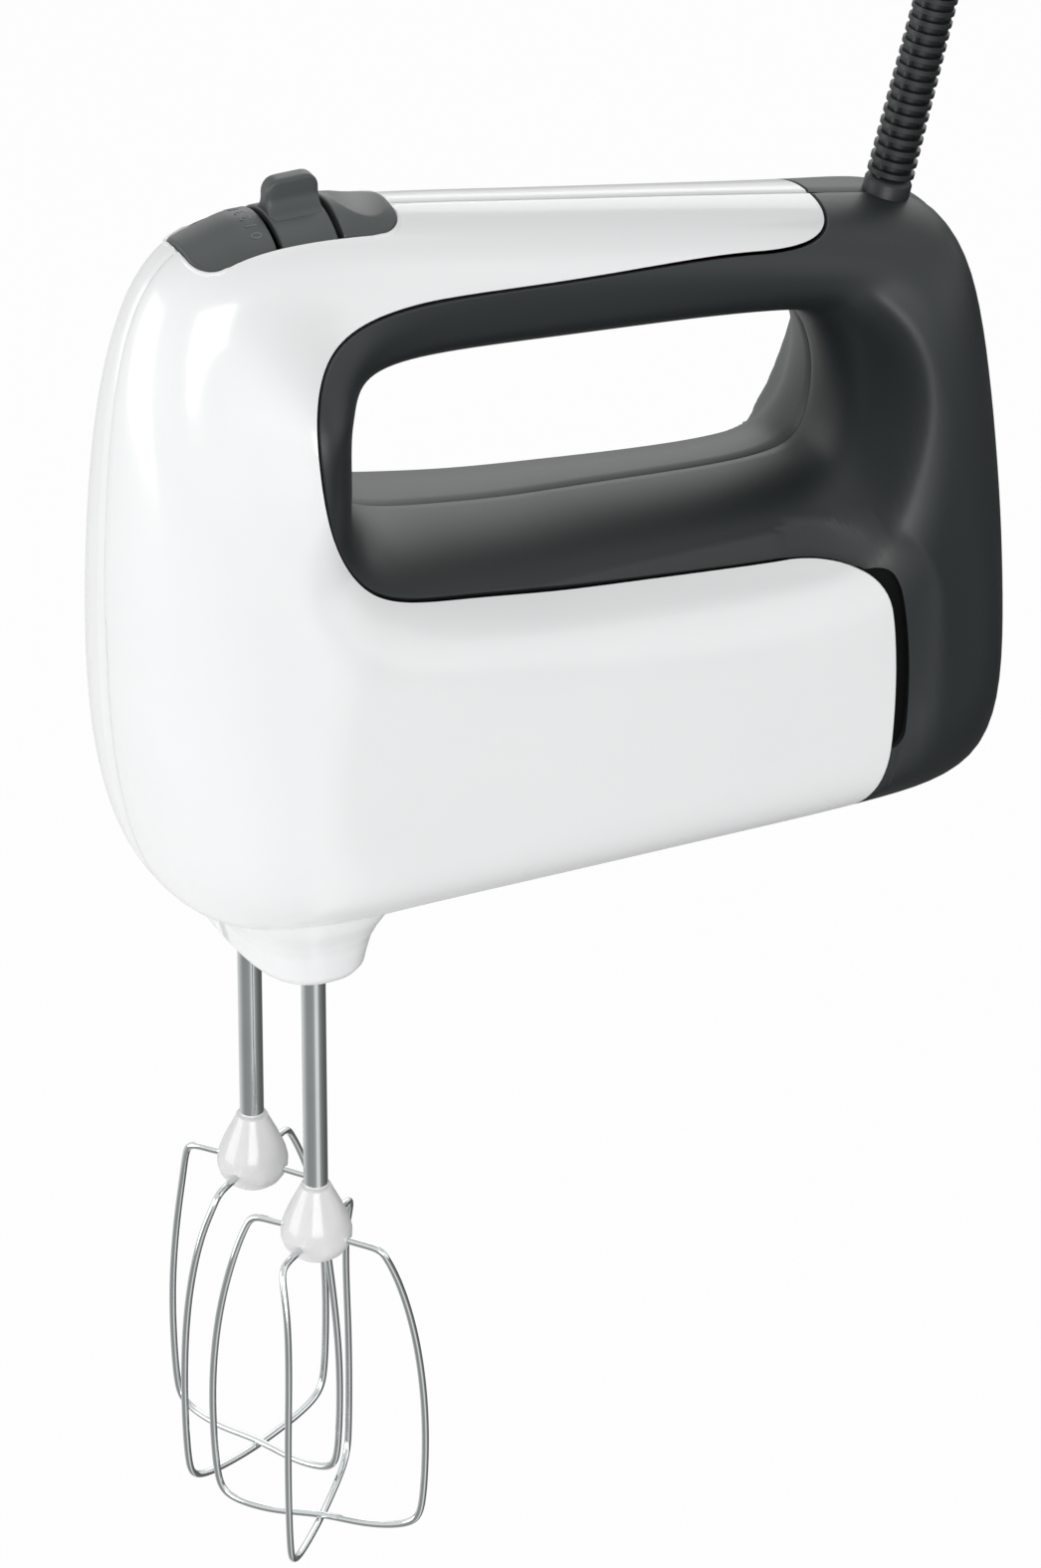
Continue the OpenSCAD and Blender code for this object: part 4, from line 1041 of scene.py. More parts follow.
# ---- mains lead ----------------------------------------------------------------------
@dataclass
class MainsLead:
    """Strain relief, lead, hank of spare lead and plug.

    Sizes are in millimetres, but the lead's diameter is in metres. The lead follows the route
    from the strain relief to the hank, folds up and down in the hank and drops to the plug.
    """

    diameter: float = 6.5 * MM
    route: tuple[tuple[float, float], ...] = (
        (82, 54), (86, 64.5), (92, 74), (101, 81.5), (112, 84.5), (123, 82), (132, 75),
        (138, 65), (141, 53), (142, 40), (142, 25), (142, 10), (142, -2))
    hank_x: float = 142.0      # where the hank starts
    turns: int = 3             # of the hank
    fold: float = 21.0         # radius of its folds
    run_top: float = -10.0     # top of its straight runs
    run: float = 80.0          # length of its straight runs
    run_steps: int = 5         # points along a run
    fold_steps: int = 9        # points round a fold
    drop: tuple[float, ...] = (-26, -42, -58, -74, -90, -100, -110, -120)
    plug_z: float = -126.0     # top of the plug's neck
    plug_bite: float = 3.0     # how deep the lead ends in it
    plug_half: tuple[float, float] = (7.0, 17.5)  # half its thickness and width
    plug_corner: float = 6.9   # radius of its corners
    plug_grip: tuple[tuple[float, float], ...] = ((1.0, 8), (0.93, 8), (0.93, 3), (1.0, 5))
    plug_round: float = 1.2    # rounding of its edges
    neck: tuple[tuple[float, float], ...] = (
        (0, 0), (6.9, 0), (6.7, 2), (6.0, 5), (5.6, 8), (5.0, 11), (4.75, 13.5), (4.3, 14),
        (0, 14))
    neck_sink: float = 0.1     # overlap of neck and grip
    boot_foot: Point = (67.0, 0.0, -4.0)
    boot_tilt: float = 14.6    # lean to the rear, in degrees
    boot_len: float = 50.0
    boot_sunk: float = 2.0     # depth below its foot
    boot_collar: float = 3.0   # height of the plain collar
    boot_radii: tuple[float, float] = (4.85, 4.35)  # at the foot and the tip
    boot_core: float = 3.0     # radius between the ribs
    collar_round: float = 0.3  # rounding of the collar
    rib_pitch: float = 2.5
    rib_width: float = 1.1
    rib_drop: float = 1.35     # from a pitch mark down to its rib
    rib_edge: float = 0.06     # chamfer of a rib
    bar_size: tuple[float, float] = (1.6, 3.6)  # of the bars that join the ribs
    bar_x: float = 2.95        # their distance from the axis
    bar_round: float = 0.3     # rounding of their edges

    @property
    def boot_frame(self) -> Matrix:
        """Place of the strain relief."""
        return (Matrix.Translation(Vector(self.boot_foot) * MM)
                @ Euler((0, math.radians(self.boot_tilt), 0)).to_matrix().to_4x4())

    def path(self) -> list[Vector]:
        """The lead's centre line from the strain relief to the plug.

        Returns:
            Its points, in metres.
        """
        points = [self.boot_frame @ Vector((0, 0, (self.boot_len - 1) * MM))]
        points += [Vector((x, 0, z)) * MM for x, z in self.route]
        bottom, pitch = self.run_top - self.run, self.diameter / MM
        half_turn = math.pi * self.fold
        marks = [self.run * k / self.run_steps for k in range(1, self.run_steps + 1)]
        marks += [self.run + half_turn * k / self.fold_steps
                  for k in range(1, self.fold_steps + 1)]
        for half in range(2 * self.turns):
            for k, gone in enumerate(marks):
                y, z = 0.0, self.run_top - gone
                if k >= self.run_steps:
                    a = (gone - self.run) / self.fold
                    y, z = self.fold * (1 - math.cos(a)), bottom - self.fold * math.sin(a)
                if half % 2:
                    y, z = 2 * self.fold - y, self.run_top + bottom - z
                climb = pitch * (half + gone / (self.run + half_turn)) / 2
                points.append(Vector((self.hank_x + climb, y, z)) * MM)
        end_x = self.hank_x + pitch * self.turns
        points += [Vector((end_x, 0, z)) * MM
                   for z in (*self.drop, self.plug_z - self.plug_bite)]
        return points

    def build(self, paint: Paintbox) -> None:
        """Make the lead and what is on it.

        Args:
            paint: the finishes.
        """
        path = flowing(self.path())
        lead = wire("mains_lead", path, self.diameter / 2, sides=4, smooth_order=2)
        adopt(lead, Body.SHELL, "cord_black", paint.get("cord_black"), "power_cord",
              "cord_hank")
        length = sum((b - a).length for a, b in zip(path, path[1:]))
        plug = self._plug()
        adopt(plug, Body.SHELL, "cord_black", paint.get("cord_black"), "plug_body")
        tuple(path[0])
        boot = self._boot()
        adopt(boot, Body.SHELL, "cord_black", paint.get("cord_black"), "strain_relief")
        LOG.info("lead length %.3f m", length)

    def _plug(self) -> bpy.types.Object:
        """The moulded two-pin plug.

        Returns:
            The piece.
        """
        x = self.hank_x * MM + self.turns * self.diameter
        half_x, half_y = (half * MM for half in self.plug_half)
        outline = rounded_outline((x - half_x, -half_y, 0), (x + half_x, half_y, 0),
                                  self.plug_corner * MM)
        top = (self.plug_z - self.neck[-1][1]) * MM
        foot = top - sum(height for _, height in self.plug_grip) * MM
        bm = bmesh.new()
        face = bm.faces.new([bm.verts.new((p.x, p.y, foot)) for p in outline])
        for grow, height in self.plug_grip:
            moved = bmesh.ops.extrude_face_region(bm, geom=[face])["geom"]
            verts = [g for g in moved if isinstance(g, bmesh.types.BMVert)]
            face = next(g for g in moved if isinstance(g, bmesh.types.BMFace))
            bmesh.ops.translate(bm, verts=verts, vec=(0, 0, height * MM))
            width = max(v.co.x for v in verts) - x
            for vert in verts:
                vert.co.x = x + (vert.co.x - x) * half_x * grow / width
        bmesh.ops.recalc_face_normals(bm, faces=bm.faces)
        body = to_object(bm, "plug_grip")
        soften(body, self.plug_round * MM, 3, 40)
        apply_modifiers(body)
        neck = lathe([(r * MM, z * MM) for r, z in self.neck], 32)
        bmesh.ops.translate(neck, verts=neck.verts, vec=(x, 0, top - self.neck_sink * MM))
        neck.from_mesh(body.data)
        neck.to_mesh(body.data)
        neck.free()
        for polygon in body.data.polygons:
            polygon.use_smooth = True
        body.data.set_sharp_from_angle(angle=SOFT_SHARP)
        return body

    def _boot(self) -> bpy.types.Object:
        """The ribbed, tapered strain relief.

        Returns:
            The piece.
        """
        foot, tip = self.boot_radii
        core, edge, collar = self.boot_core, self.rib_edge, self.collar_round
        profile = [(0, -self.boot_sunk), (foot - collar, -self.boot_sunk),
                   (foot, collar - self.boot_sunk), (foot, self.boot_collar - 0.5),
                   (foot - collar, self.boot_collar)]
        ribs = int((self.boot_len - self.boot_collar - 1) / self.rib_pitch)
        for k in range(1, ribs + 1):
            rib = foot + (tip - foot) * k / ribs
            low = self.boot_collar + self.rib_pitch * k - self.rib_drop
            high = low + self.rib_width
            profile += [(core, low), (rib - edge, low), (rib, low + edge), (rib, high - edge),
                        (rib - edge, high), (core, high)]
        profile += [(core, self.boot_len), (0, self.boot_len)]
        made = to_object(lathe([(r * MM, z * MM) for r, z in profile], 40), "ribbed_sleeve")
        low, high = self.boot_collar - 0.5, self.boot_len - 1.5
        bars = []
        for side in (-1, 1):
            bar = bmesh.new()
            bmesh.ops.create_cube(bar, size=1.0)
            size = Matrix.Diagonal((*self.bar_size, high - low, 1.0))
            place = Matrix.Translation((side * self.bar_x, 0, (low + high) / 2))
            bmesh.ops.transform(bar, matrix=Matrix.Scale(MM, 4) @ place @ size, verts=bar.verts)
            upright = [e for e in bar.edges
                       if abs(e.verts[0].co.z - e.verts[1].co.z) > (high - low) * MM / 2]
            bmesh.ops.bevel(bar, geom=upright, offset=self.bar_round * MM, affect="EDGES",
                            segments=2, profile=0.5, material=-1)
            bars.append(to_object(bar, "sleeve_bar"))
        combine(made, bars, "UNION")
        made.data.transform(self.boot_frame)
        made.data.set_sharp_from_angle(angle=SHARP)
        return made


# ---- shells --------------------------------------------------------------------------
@dataclass
class Sheet:
    """A moulded wall between a skin and the same skin sunk, with rounded rims.

    Sizes are in millimetres. The point function takes shares along and across the sheet and
    how far the skin is sunk. A looped sheet joins its two ends, and another has rims there too.
    """

    point: Callable[[float, float, float], Vector]
    rows: int
    columns: int
    looped: bool
    wall: float = 2.2       # its thickness
    rim: float = 0.4        # radius of its outer edges
    rim_rows: tuple[float, ...] = (0.0, 0.04, 0.14, 0.3)  # distances of the rows nearest a rim
    rim_band: float = 0.5   # width of the band of close rows
    length: float = 400.0   # of a sheet that has ends, about
    end_zone: float = 0.02  # share of the length that feels an end

    def _spread(self, count: int, length: float) -> list[float]:
        """Positions from 0 to 1, close together in the bands at both rims.

        Args:
            count: steps between the bands.
            length: distance from rim to rim.

        Returns:
            The positions, in rising order.
        """
        near = [e / length for e in self.rim_rows]
        low, high = self.rim_band / length, 1 - self.rim_band / length
        middle = [low + (high - low) * (1 - math.cos(math.pi * k / count)) / 2
                  for k in range(count + 1)]
        return near + middle + [1 - e for e in reversed(near)]

    def _near_end(self, u: float) -> bool:
        """Whether u is close to an end that has a rim."""
        return not self.looped and not self.end_zone < u < 1 - self.end_zone

    def _section(self, u: float, sides: tuple[float, ...]) -> list[tuple[Vector, Vector]]:
        """Pairs of outer and inner points across the sheet.

        Args:
            u: share of the way along the sheet.
            sides: the same share at each end whose rim may be near.

        Returns:
            The pairs, from one rim to the other.
        """
        first, last = self.point(u, 0.0, 0.0), self.point(u, 1.0, 0.0)
        middle = self.point(u, 0.5, 0.0)
        width = ((middle - first).length + (last - middle).length) / MM
        pairs = []
        for v in self._spread(self.columns, width):
            here = self.point(u, v, 0.0)
            edges = [first, last] + [self.point(end, v, 0.0) for end in sides]
            near = min((here - edge).length for edge in edges) / MM
            fall = 0.0
            if near < self.rim:
                fall = self.rim - math.sqrt(self.rim ** 2 - (self.rim - near) ** 2)
            outer = self.point(u, v, fall) if fall else here
            pairs.append((outer, self.point(u, v, self.wall)))
        return pairs

    def mesh(self) -> bmesh.types.BMesh:
        """Build the closed sheet.

        Returns:
            The mesh.
        """
        if self.looped:
            stations = [i / self.rows for i in range(self.rows)]
        else:
            stations = self._spread(self.rows, self.length)
        table = [self._section(u, (0.0, 1.0) if self._near_end(u) else ()) for u in stations]
        last, edge = len(table) - 1, len(table[0]) - 1
        across = last + 1 if self.looped else last + 2
        around = 2 * edge + 2

        def surface(a: float, b: float) -> Vector:
            """Point of the closed sheet: down its outside, up its inside, closed at its ends.

            Args:
                a: share of the way along the sheet.
                b: share of the way round its section.

            Returns:
                The point, in metres.
            """
            i, j = round(a * across), round(b * around) % around
            sunk = j > edge or (not self.looped and i in (0, across))
            i = i % across if self.looped else min(max(i - 1, 0), last)
            return table[i][j if j <= edge else 2 * edge + 1 - j][sunk]

        bm = bmesh.new()
        bmesh.ops.create_grid(bm, x_segments=across, y_segments=around, size=1.0)
        for vert in bm.verts:
            vert.co = surface((vert.co.x + 1) / 2, (vert.co.y + 1) / 2)
        bmesh.ops.remove_doubles(bm, verts=bm.verts, dist=2 * MERGE)
        bmesh.ops.dissolve_degenerate(bm, edges=bm.edges, dist=MERGE)
        bmesh.ops.recalc_face_normals(bm, faces=bm.faces)
        return bm


@dataclass
class Shells:
    """The four moulded shells and the beater boss, in millimetres.

    A post is a screw well's station and share of the way to the opening, and a well is its
    bore's radius, its collar's radius and its depth. The ramp's rows are its width by the share
    along the light shell's rear edge. A boss level is a height and its half length and width.
    """

    light_rows: int = 230
    light_columns: int = 52
    dark_rows: int = 260
    dark_columns: int = 48
    groove_depth: float = 0.35                # of the groove down the nose's parting line
    groove_half: float = 1.3                  # half its width
    groove_top: float = -60.0                 # its ends
    groove_foot: float = -114.0
    groove_rear: float = -90.0                # it lies in front of this
    ramp_depth: float = 3.4                   # fall of the skin beside the cooling slot
    ramp_power: float = 0.8                   # exponent of the ramp's profile
    ramp_full: float = 8.0                    # width from which it has its full depth
    ramp_from: float = 0.1                    # the fill at which it starts
    ramp_widths: tuple[tuple[float, float], ...] = (
        (0.16, 0), (0.3, 8), (0.5, 11), (0.8, 12), (0.95, 10), (1, 8.5))
    ramp_over: tuple[float, float] = (3.0, 6.0)  # stations over the corner, and its width
    ramp_marks: tuple[int, int] = (400, 300)  # points behind and over the corner
    slot_margin: float = 0.02                 # fill by which the slot's cutter overruns
    slot_rows: int = 90                       # rows along the cutter
    bead: float = 0.5                         # radius of the bead round the controls
    bead_sunk: float = 0.15                   # how deep it sits in the shell
    bead_gap: float = 0.1                     # its distance from the opening
    deck_cut: tuple[float, float] = (8.0, 30.0)  # between which heights the opening is cut
    light_posts: tuple[tuple[float, float], ...] = ((8, 0.5), (13.7, 0.62), (1.2, 0.2))
    dark_posts: tuple[tuple[float, float], ...] = ((15.5, 0.5), (17.2, 0.5))
    well: tuple[float, float, float] = (3.1, 3.9, 6.0)
    well_sunk: float = 1.6                    # depth from which a well is measured
    bore_rise: float = 5.0                    # how far a bore's cutter stands out
    collar_from: float = 2.6                  # depth at which a collar starts
    collar_floor: float = 1.5                 # thickness below its bore
    boss_wall: float = 2.0                    # the boss's thickness
    boss_power: tuple[float, float] = (0.8, 0.7)  # exponents of its outline, along and across
    boss_levels: tuple[tuple[float, float, float], ...] = (
        (-120.0, 21.0, 31.0), (-126.0, 18.5, 29.0), (-129.5, 16.0, 27.2), (-132.5, 14.3, 26.0),
        (-136.0, 13.2, 25.3), (-138.6, 12.6, 24.8), (-139.9, 11.6, 23.8), (-140.5, 9.8, 22.0),
        (-140.5, 6.0, 18.0))

    def _light(self, side: Side) -> bpy.types.Object:
        """One light half, before its opening for the controls is cut.

        Args:
            side: the half.

        Returns:
            The piece.
        """
        def point(u: float, v: float, inset: float) -> Vector:
            """The skin, with the shallow groove along the nose's parting line.

            Args:
                u: share of the way along the sheet.
                v: share of the way across it.
                inset: millimetres below the surface.

            Returns:
                The point, in metres.
            """
            place = FORM.light_point(u, v, inset, side.value)
            near = abs(place.y) / MM < self.groove_half and place.x < self.groove_rear * MM
            if near and inset < 1 and self.groove_foot < place.z / MM < self.groove_top:
                place.x += self.groove_depth * MM
            return place

        sheet = Sheet(point, self.light_rows, self.light_columns, False)
        return to_object(sheet.mesh(), f"light_shell_{side.word}")

    def _ramp_guide(self) -> tuple[KDTree, list[float]]:
        """Points along the light shell's rear and upper edge and the ramp's width at each.

        Returns:
            A search tree of the points on the left side and the widths in millimetres.
        """
        places, widths = [], []
        behind, over = (n - 1 for n in self.ramp_marks)
        for k in range(behind + 1):
            fill = self.ramp_from + (1 - self.ramp_from) * k / behind
            t = FORM.rear_edge(fill)
            places.append(FORM.skin(t, FORM.edge_share(t, 0.0) * fill))
            widths.append(lookup(fill, self.ramp_widths))
        reach, width = self.ramp_over
        for k in range(over + 1):
            t = FORM.rear_edge(1) - reach * k / over
            places.append(FORM.skin(t, FORM.edge_share(t, 0.0)))
            widths.append(width * (1 - k / over))
        tree = KDTree(len(places))
        for k, place in enumerate(places):
            tree.insert(place, k)
        tree.balance()
        return tree, widths

    def _dark(self, side: Side) -> bpy.types.Object:
        """One dark half, dished beside the light shell's rear edge.

        Args:
            side: the half.

        Returns:
            The piece.
        """
        tree, widths = self._ramp_guide()

        def point(u: float, v: float, inset: float) -> Vector:
            """The skin, which falls away in a ramp towards the cooling slot.

            Args:
                u: share of the way along the sheet.
                v: share of the way across it.
                inset: millimetres below the surface.

            Returns:
                The point, in metres.
            """
            place = FORM.dark_point(u, v, 0.0, -1)
            _, k, gap = tree.find(place)
            width = widths[k]
            if width > 0.2 and gap / MM < width:
                share = (1 - gap / MM / width) ** self.ramp_power
                inset += self.ramp_depth * min(1.0, width / self.ramp_full) * share
            return FORM.dark_point(u, v, inset, side.value)

        sheet = Sheet(point, self.dark_rows, self.dark_columns, True)
        made = to_object(sheet.mesh(), f"dark_shell_{side.word}")
        combine(made, [self._slot("slot_cut", side, front=-0.03, rear=0.0, top=-1.0, foot=4.5)])
        return made

    def _slot(self, name: str, side: Side, front: float, rear: float, top: float,
              foot: float) -> bpy.types.Object:
        """A block that follows the cooling slot.

        Args:
            name: the object's name.
            side: the half that it is on.
            front: stations by which it starts behind the light shell's edge.
            rear: stations by which it passes the slot's rear side.
            top: millimetres below the skin at which it starts.
            foot: millimetres below the skin at which it ends.

        Returns:
            The block.
        """
        low, high = FORM.vent_span[0] - self.slot_margin, FORM.vent_span[1] + self.slot_margin

        def surface(a: float, b: float) -> Vector:
            """Point of the block.

            Args:
                a: share of the way along the slot.
                b: share of the way round its section.

            Returns:
                The point, in metres.
            """
            fill = low + (high - low) * a
            start = FORM.rear_edge(fill) + front
            end = FORM.rear_edge(fill) + FORM.half_gap_t + FORM.vent_at(fill) + rear
            t, inset = ((start, top), (end, top), (end, foot), (start, foot),
                        (start, top))[round(b * 4)]
            if a in (0.0, 1.0):
                inset, t = (top + foot) / 2, start
            return FORM.skin(t, FORM.edge_share(t, 0.0) * fill, inset, side.value)

        bm = bmesh.new()
        bmesh.ops.create_grid(bm, x_segments=self.slot_rows, y_segments=4, size=1.0)
        for vert in bm.verts:
            vert.co = surface((vert.co.x + 1) / 2, (vert.co.y + 1) / 2)
        bmesh.ops.remove_doubles(bm, verts=bm.verts, dist=2 * MERGE)
        bmesh.ops.recalc_face_normals(bm, faces=bm.faces)
        return to_object(bm, name, smooth=False)

    def _deck_bead(self, shell: bpy.types.Object, side: Side) -> bpy.types.Object:
        """The raised bead round a shell's half of the opening for the controls.

        Args:
            shell: the light half that it lies on.
            side: which half that is.

        Returns:
            The bead, to be joined to the shell.
        """
        tree = BVHTree.FromObject(shell, bpy.context.evaluated_depsgraph_get())
        ring = DECK.outline(-self.bead_gap, 16)
        half = [p for p in ring if p.y * side.value > FORM.seam]
        start = max(range(len(half)), key=lambda k: (half[k] - half[k - 1]).length)
        half = half[start:] + half[:start]
        ends = [Vector((p.x, side.value * FORM.seam, 0.0)) for p in (half[0], half[-1])]
        points = []
        for p in (ends[0], *half, ends[1]):
            above = Vector((p.x, p.y, self.deck_cut[1])) * MM
            hit = tree.ray_cast(above, Vector((0, 0, -1)))[0]
            points.append(hit - Vector((0, 0, self.bead_sunk * MM)))
        curve = wire("deck_bead", points, self.bead * MM, smooth_order=2)
        graph = bpy.context.evaluated_depsgraph_get()
        mesh = bpy.data.meshes.new_from_object(curve.evaluated_get(graph))
        bpy.data.objects.remove(curve)
        bm = bmesh.new()
        bm.from_mesh(mesh)
        bmesh.ops.remove_doubles(bm, verts=bm.verts, dist=2 * MERGE)
        bmesh.ops.recalc_face_normals(bm, faces=bm.faces)
        return to_object(bm, "deck_bead")

    def _screw_wells(self, shell: bpy.types.Object,
                     posts: Sequence[tuple[float, float]]) -> None:
        """Sink the wells for the casing's screws into a right-hand shell.

        Args:
            shell: the shell.
            posts: the wells' places as (station, share of the way to the opening).
        """
        bore, outer, depth = self.well
        inwards = Vector((0, -1, 0))
        collars, bores = [], []
        for t, s in posts:
            foot = FORM.skin(t, s, self.well_sunk, Side.RIGHT.value)
            for made, name, radius, start, end in (
                    (collars, "collar", outer, self.collar_from, depth + self.collar_floor),
                    (bores, "bore", bore, -self.bore_rise, depth)):
                profile = [(0, start), (radius, start), (radius, end), (0, end)]
                made.append(column(name, [(r * MM, z * MM) for r, z in profile], foot, inwards))
        combine(shell, collars, "UNION")
        combine(shell, bores)

    def build(self, paint: Paintbox) -> None:
        """Make and place the shells.

        Args:
            paint: the finishes.
        """
        for side in Side:
            light = self._light(side)
            bead = self._deck_bead(light, side)
            outline = [p * MM for p in DECK.outline()]
            low, high = self.deck_cut
            combine(light, [prism("deck_cut", outline, low * MM, high * MM)])
            combine(light, [bead], "UNION")
            dark = self._dark(side)
            if side is Side.RIGHT:
                self._screw_wells(light, self.light_posts)
                self._screw_wells(dark, self.dark_posts)
            for made, finish, node in ((light, "white_shell", "housing"),
                                       (dark, "dark_shell", "grip")):
                made.data.set_sharp_from_angle(angle=SHARP)
                adopt(made, Body.SHELL, finish, paint.get(finish), f"{node}_{side.word}")
            # the wall behind the cooling slot is painted near black: painted shade for the deep
            # shade in the slot
            back = self._slot(f"slot_wall_{side.word}", side, front=-0.12, rear=0.12, top=3.2,
                              foot=4.4)
            adopt(back, Body.SHELL, "dark_shell", paint.get("slot_painted_shade"))
            adopt(self._boss(side), Body.SHELL, "white_shell", paint.get("white_shell"))

    def _boss(self, side: Side) -> bpy.types.Object:
        """Half of the flared boss that the beater shafts come out of.

        Args:
            side: the half.

        Returns:
            The piece.
        """
        levels = self.boss_levels
        power_x, power_y = self.boss_power

        def surface(u: float, v: float) -> Vector:
            """Point of the boss's outside.

            Args:
                u: share of the way round the half outline.
                v: share of the way down the levels.

            Returns:
                The point, in metres.
            """
            at = v * (len(levels) - 1)
            low = min(int(at), len(levels) - 2)
            share = at - low
            z, half_x, half_y = (a + (b - a) * share
                                 for a, b in zip(levels[low], levels[low + 1]))
            angle = math.pi * u
            x = half_x * math.copysign(abs(math.cos(angle)) ** power_x, math.cos(angle))
            y = half_y * abs(math.sin(angle)) ** power_y
            return Vector((BEATER_X + x, side.value * (FORM.seam + y), z)) * MM

        bm = mapped_grid(48, 32, surface, Vector((0, side.value, -0.5)))
        made = to_object(bm, f"beater_boss_{side.word}")
        wall = made.modifiers.new("wall", "SOLIDIFY")
        wall.thickness = self.boss_wall * MM
        wall.offset = -1.0
        apply_modifiers(made)
        return made


# ---- controls ------------------------------------------------------------------------
@dataclass
class Cap:
    """A hollow crowned cover with a plan outline, a top and a rim, in millimetres."""

    outline: list[Vector]
    top: Callable[[float, float], float]
    foot: float = 12.4  # height of its lower edge
    rim: float = 0.5    # radius of its rim
    wall: float = 2.0   # its thickness
    rings: int = 30     # rings over its top
    rim_steps: int = 5  # faces round its rim

    def mesh(self) -> bmesh.types.BMesh:
        """Build the closed cover.

        Returns:
            The mesh.
        """
        count = len(self.outline)
        middle = Vector((sum(p.x for p in self.outline) / count,
                         sum(p.y for p in self.outline) / count, 0.0))
        levels = [(k / self.rings, self.rim, 0.0) for k in range(self.rings + 1)]
        for k in range(1, self.rim_steps + 1):
            angle = math.radians(90 / self.rim_steps * k)
            levels.append((1.0, self.rim * (1 - math.sin(angle)),
                           self.rim * (1 - math.cos(angle))))
        levels += [(1.0, 0.0, None), (1.0, self.wall, None), (1.0, self.wall, self.wall),
                   (0.0, self.wall, self.wall)]

        def surface(u: float, v: float) -> Vector:
            """Point of the cover.

            Args:
                u: share of the way round the outline.
                v: share of the way over the top, down the rim and back inside.

            Returns:
                The point, in metres.
            """
            spoke = self.outline[round(u * count) % count] - middle
            share, inset, drop = levels[round(v * (len(levels) - 1))]
            place = middle + spoke * (share * (1 - inset / spoke.length))
            height = self.foot if drop is None else self.top(place.x, place.y) - drop
            return Vector((place.x, place.y, height)) * MM

        bm = mapped_grid(count, len(levels) - 1, surface, Vector((0, 0, 1)))
        bmesh.ops.recalc_face_normals(bm, faces=bm.faces)
        return bm


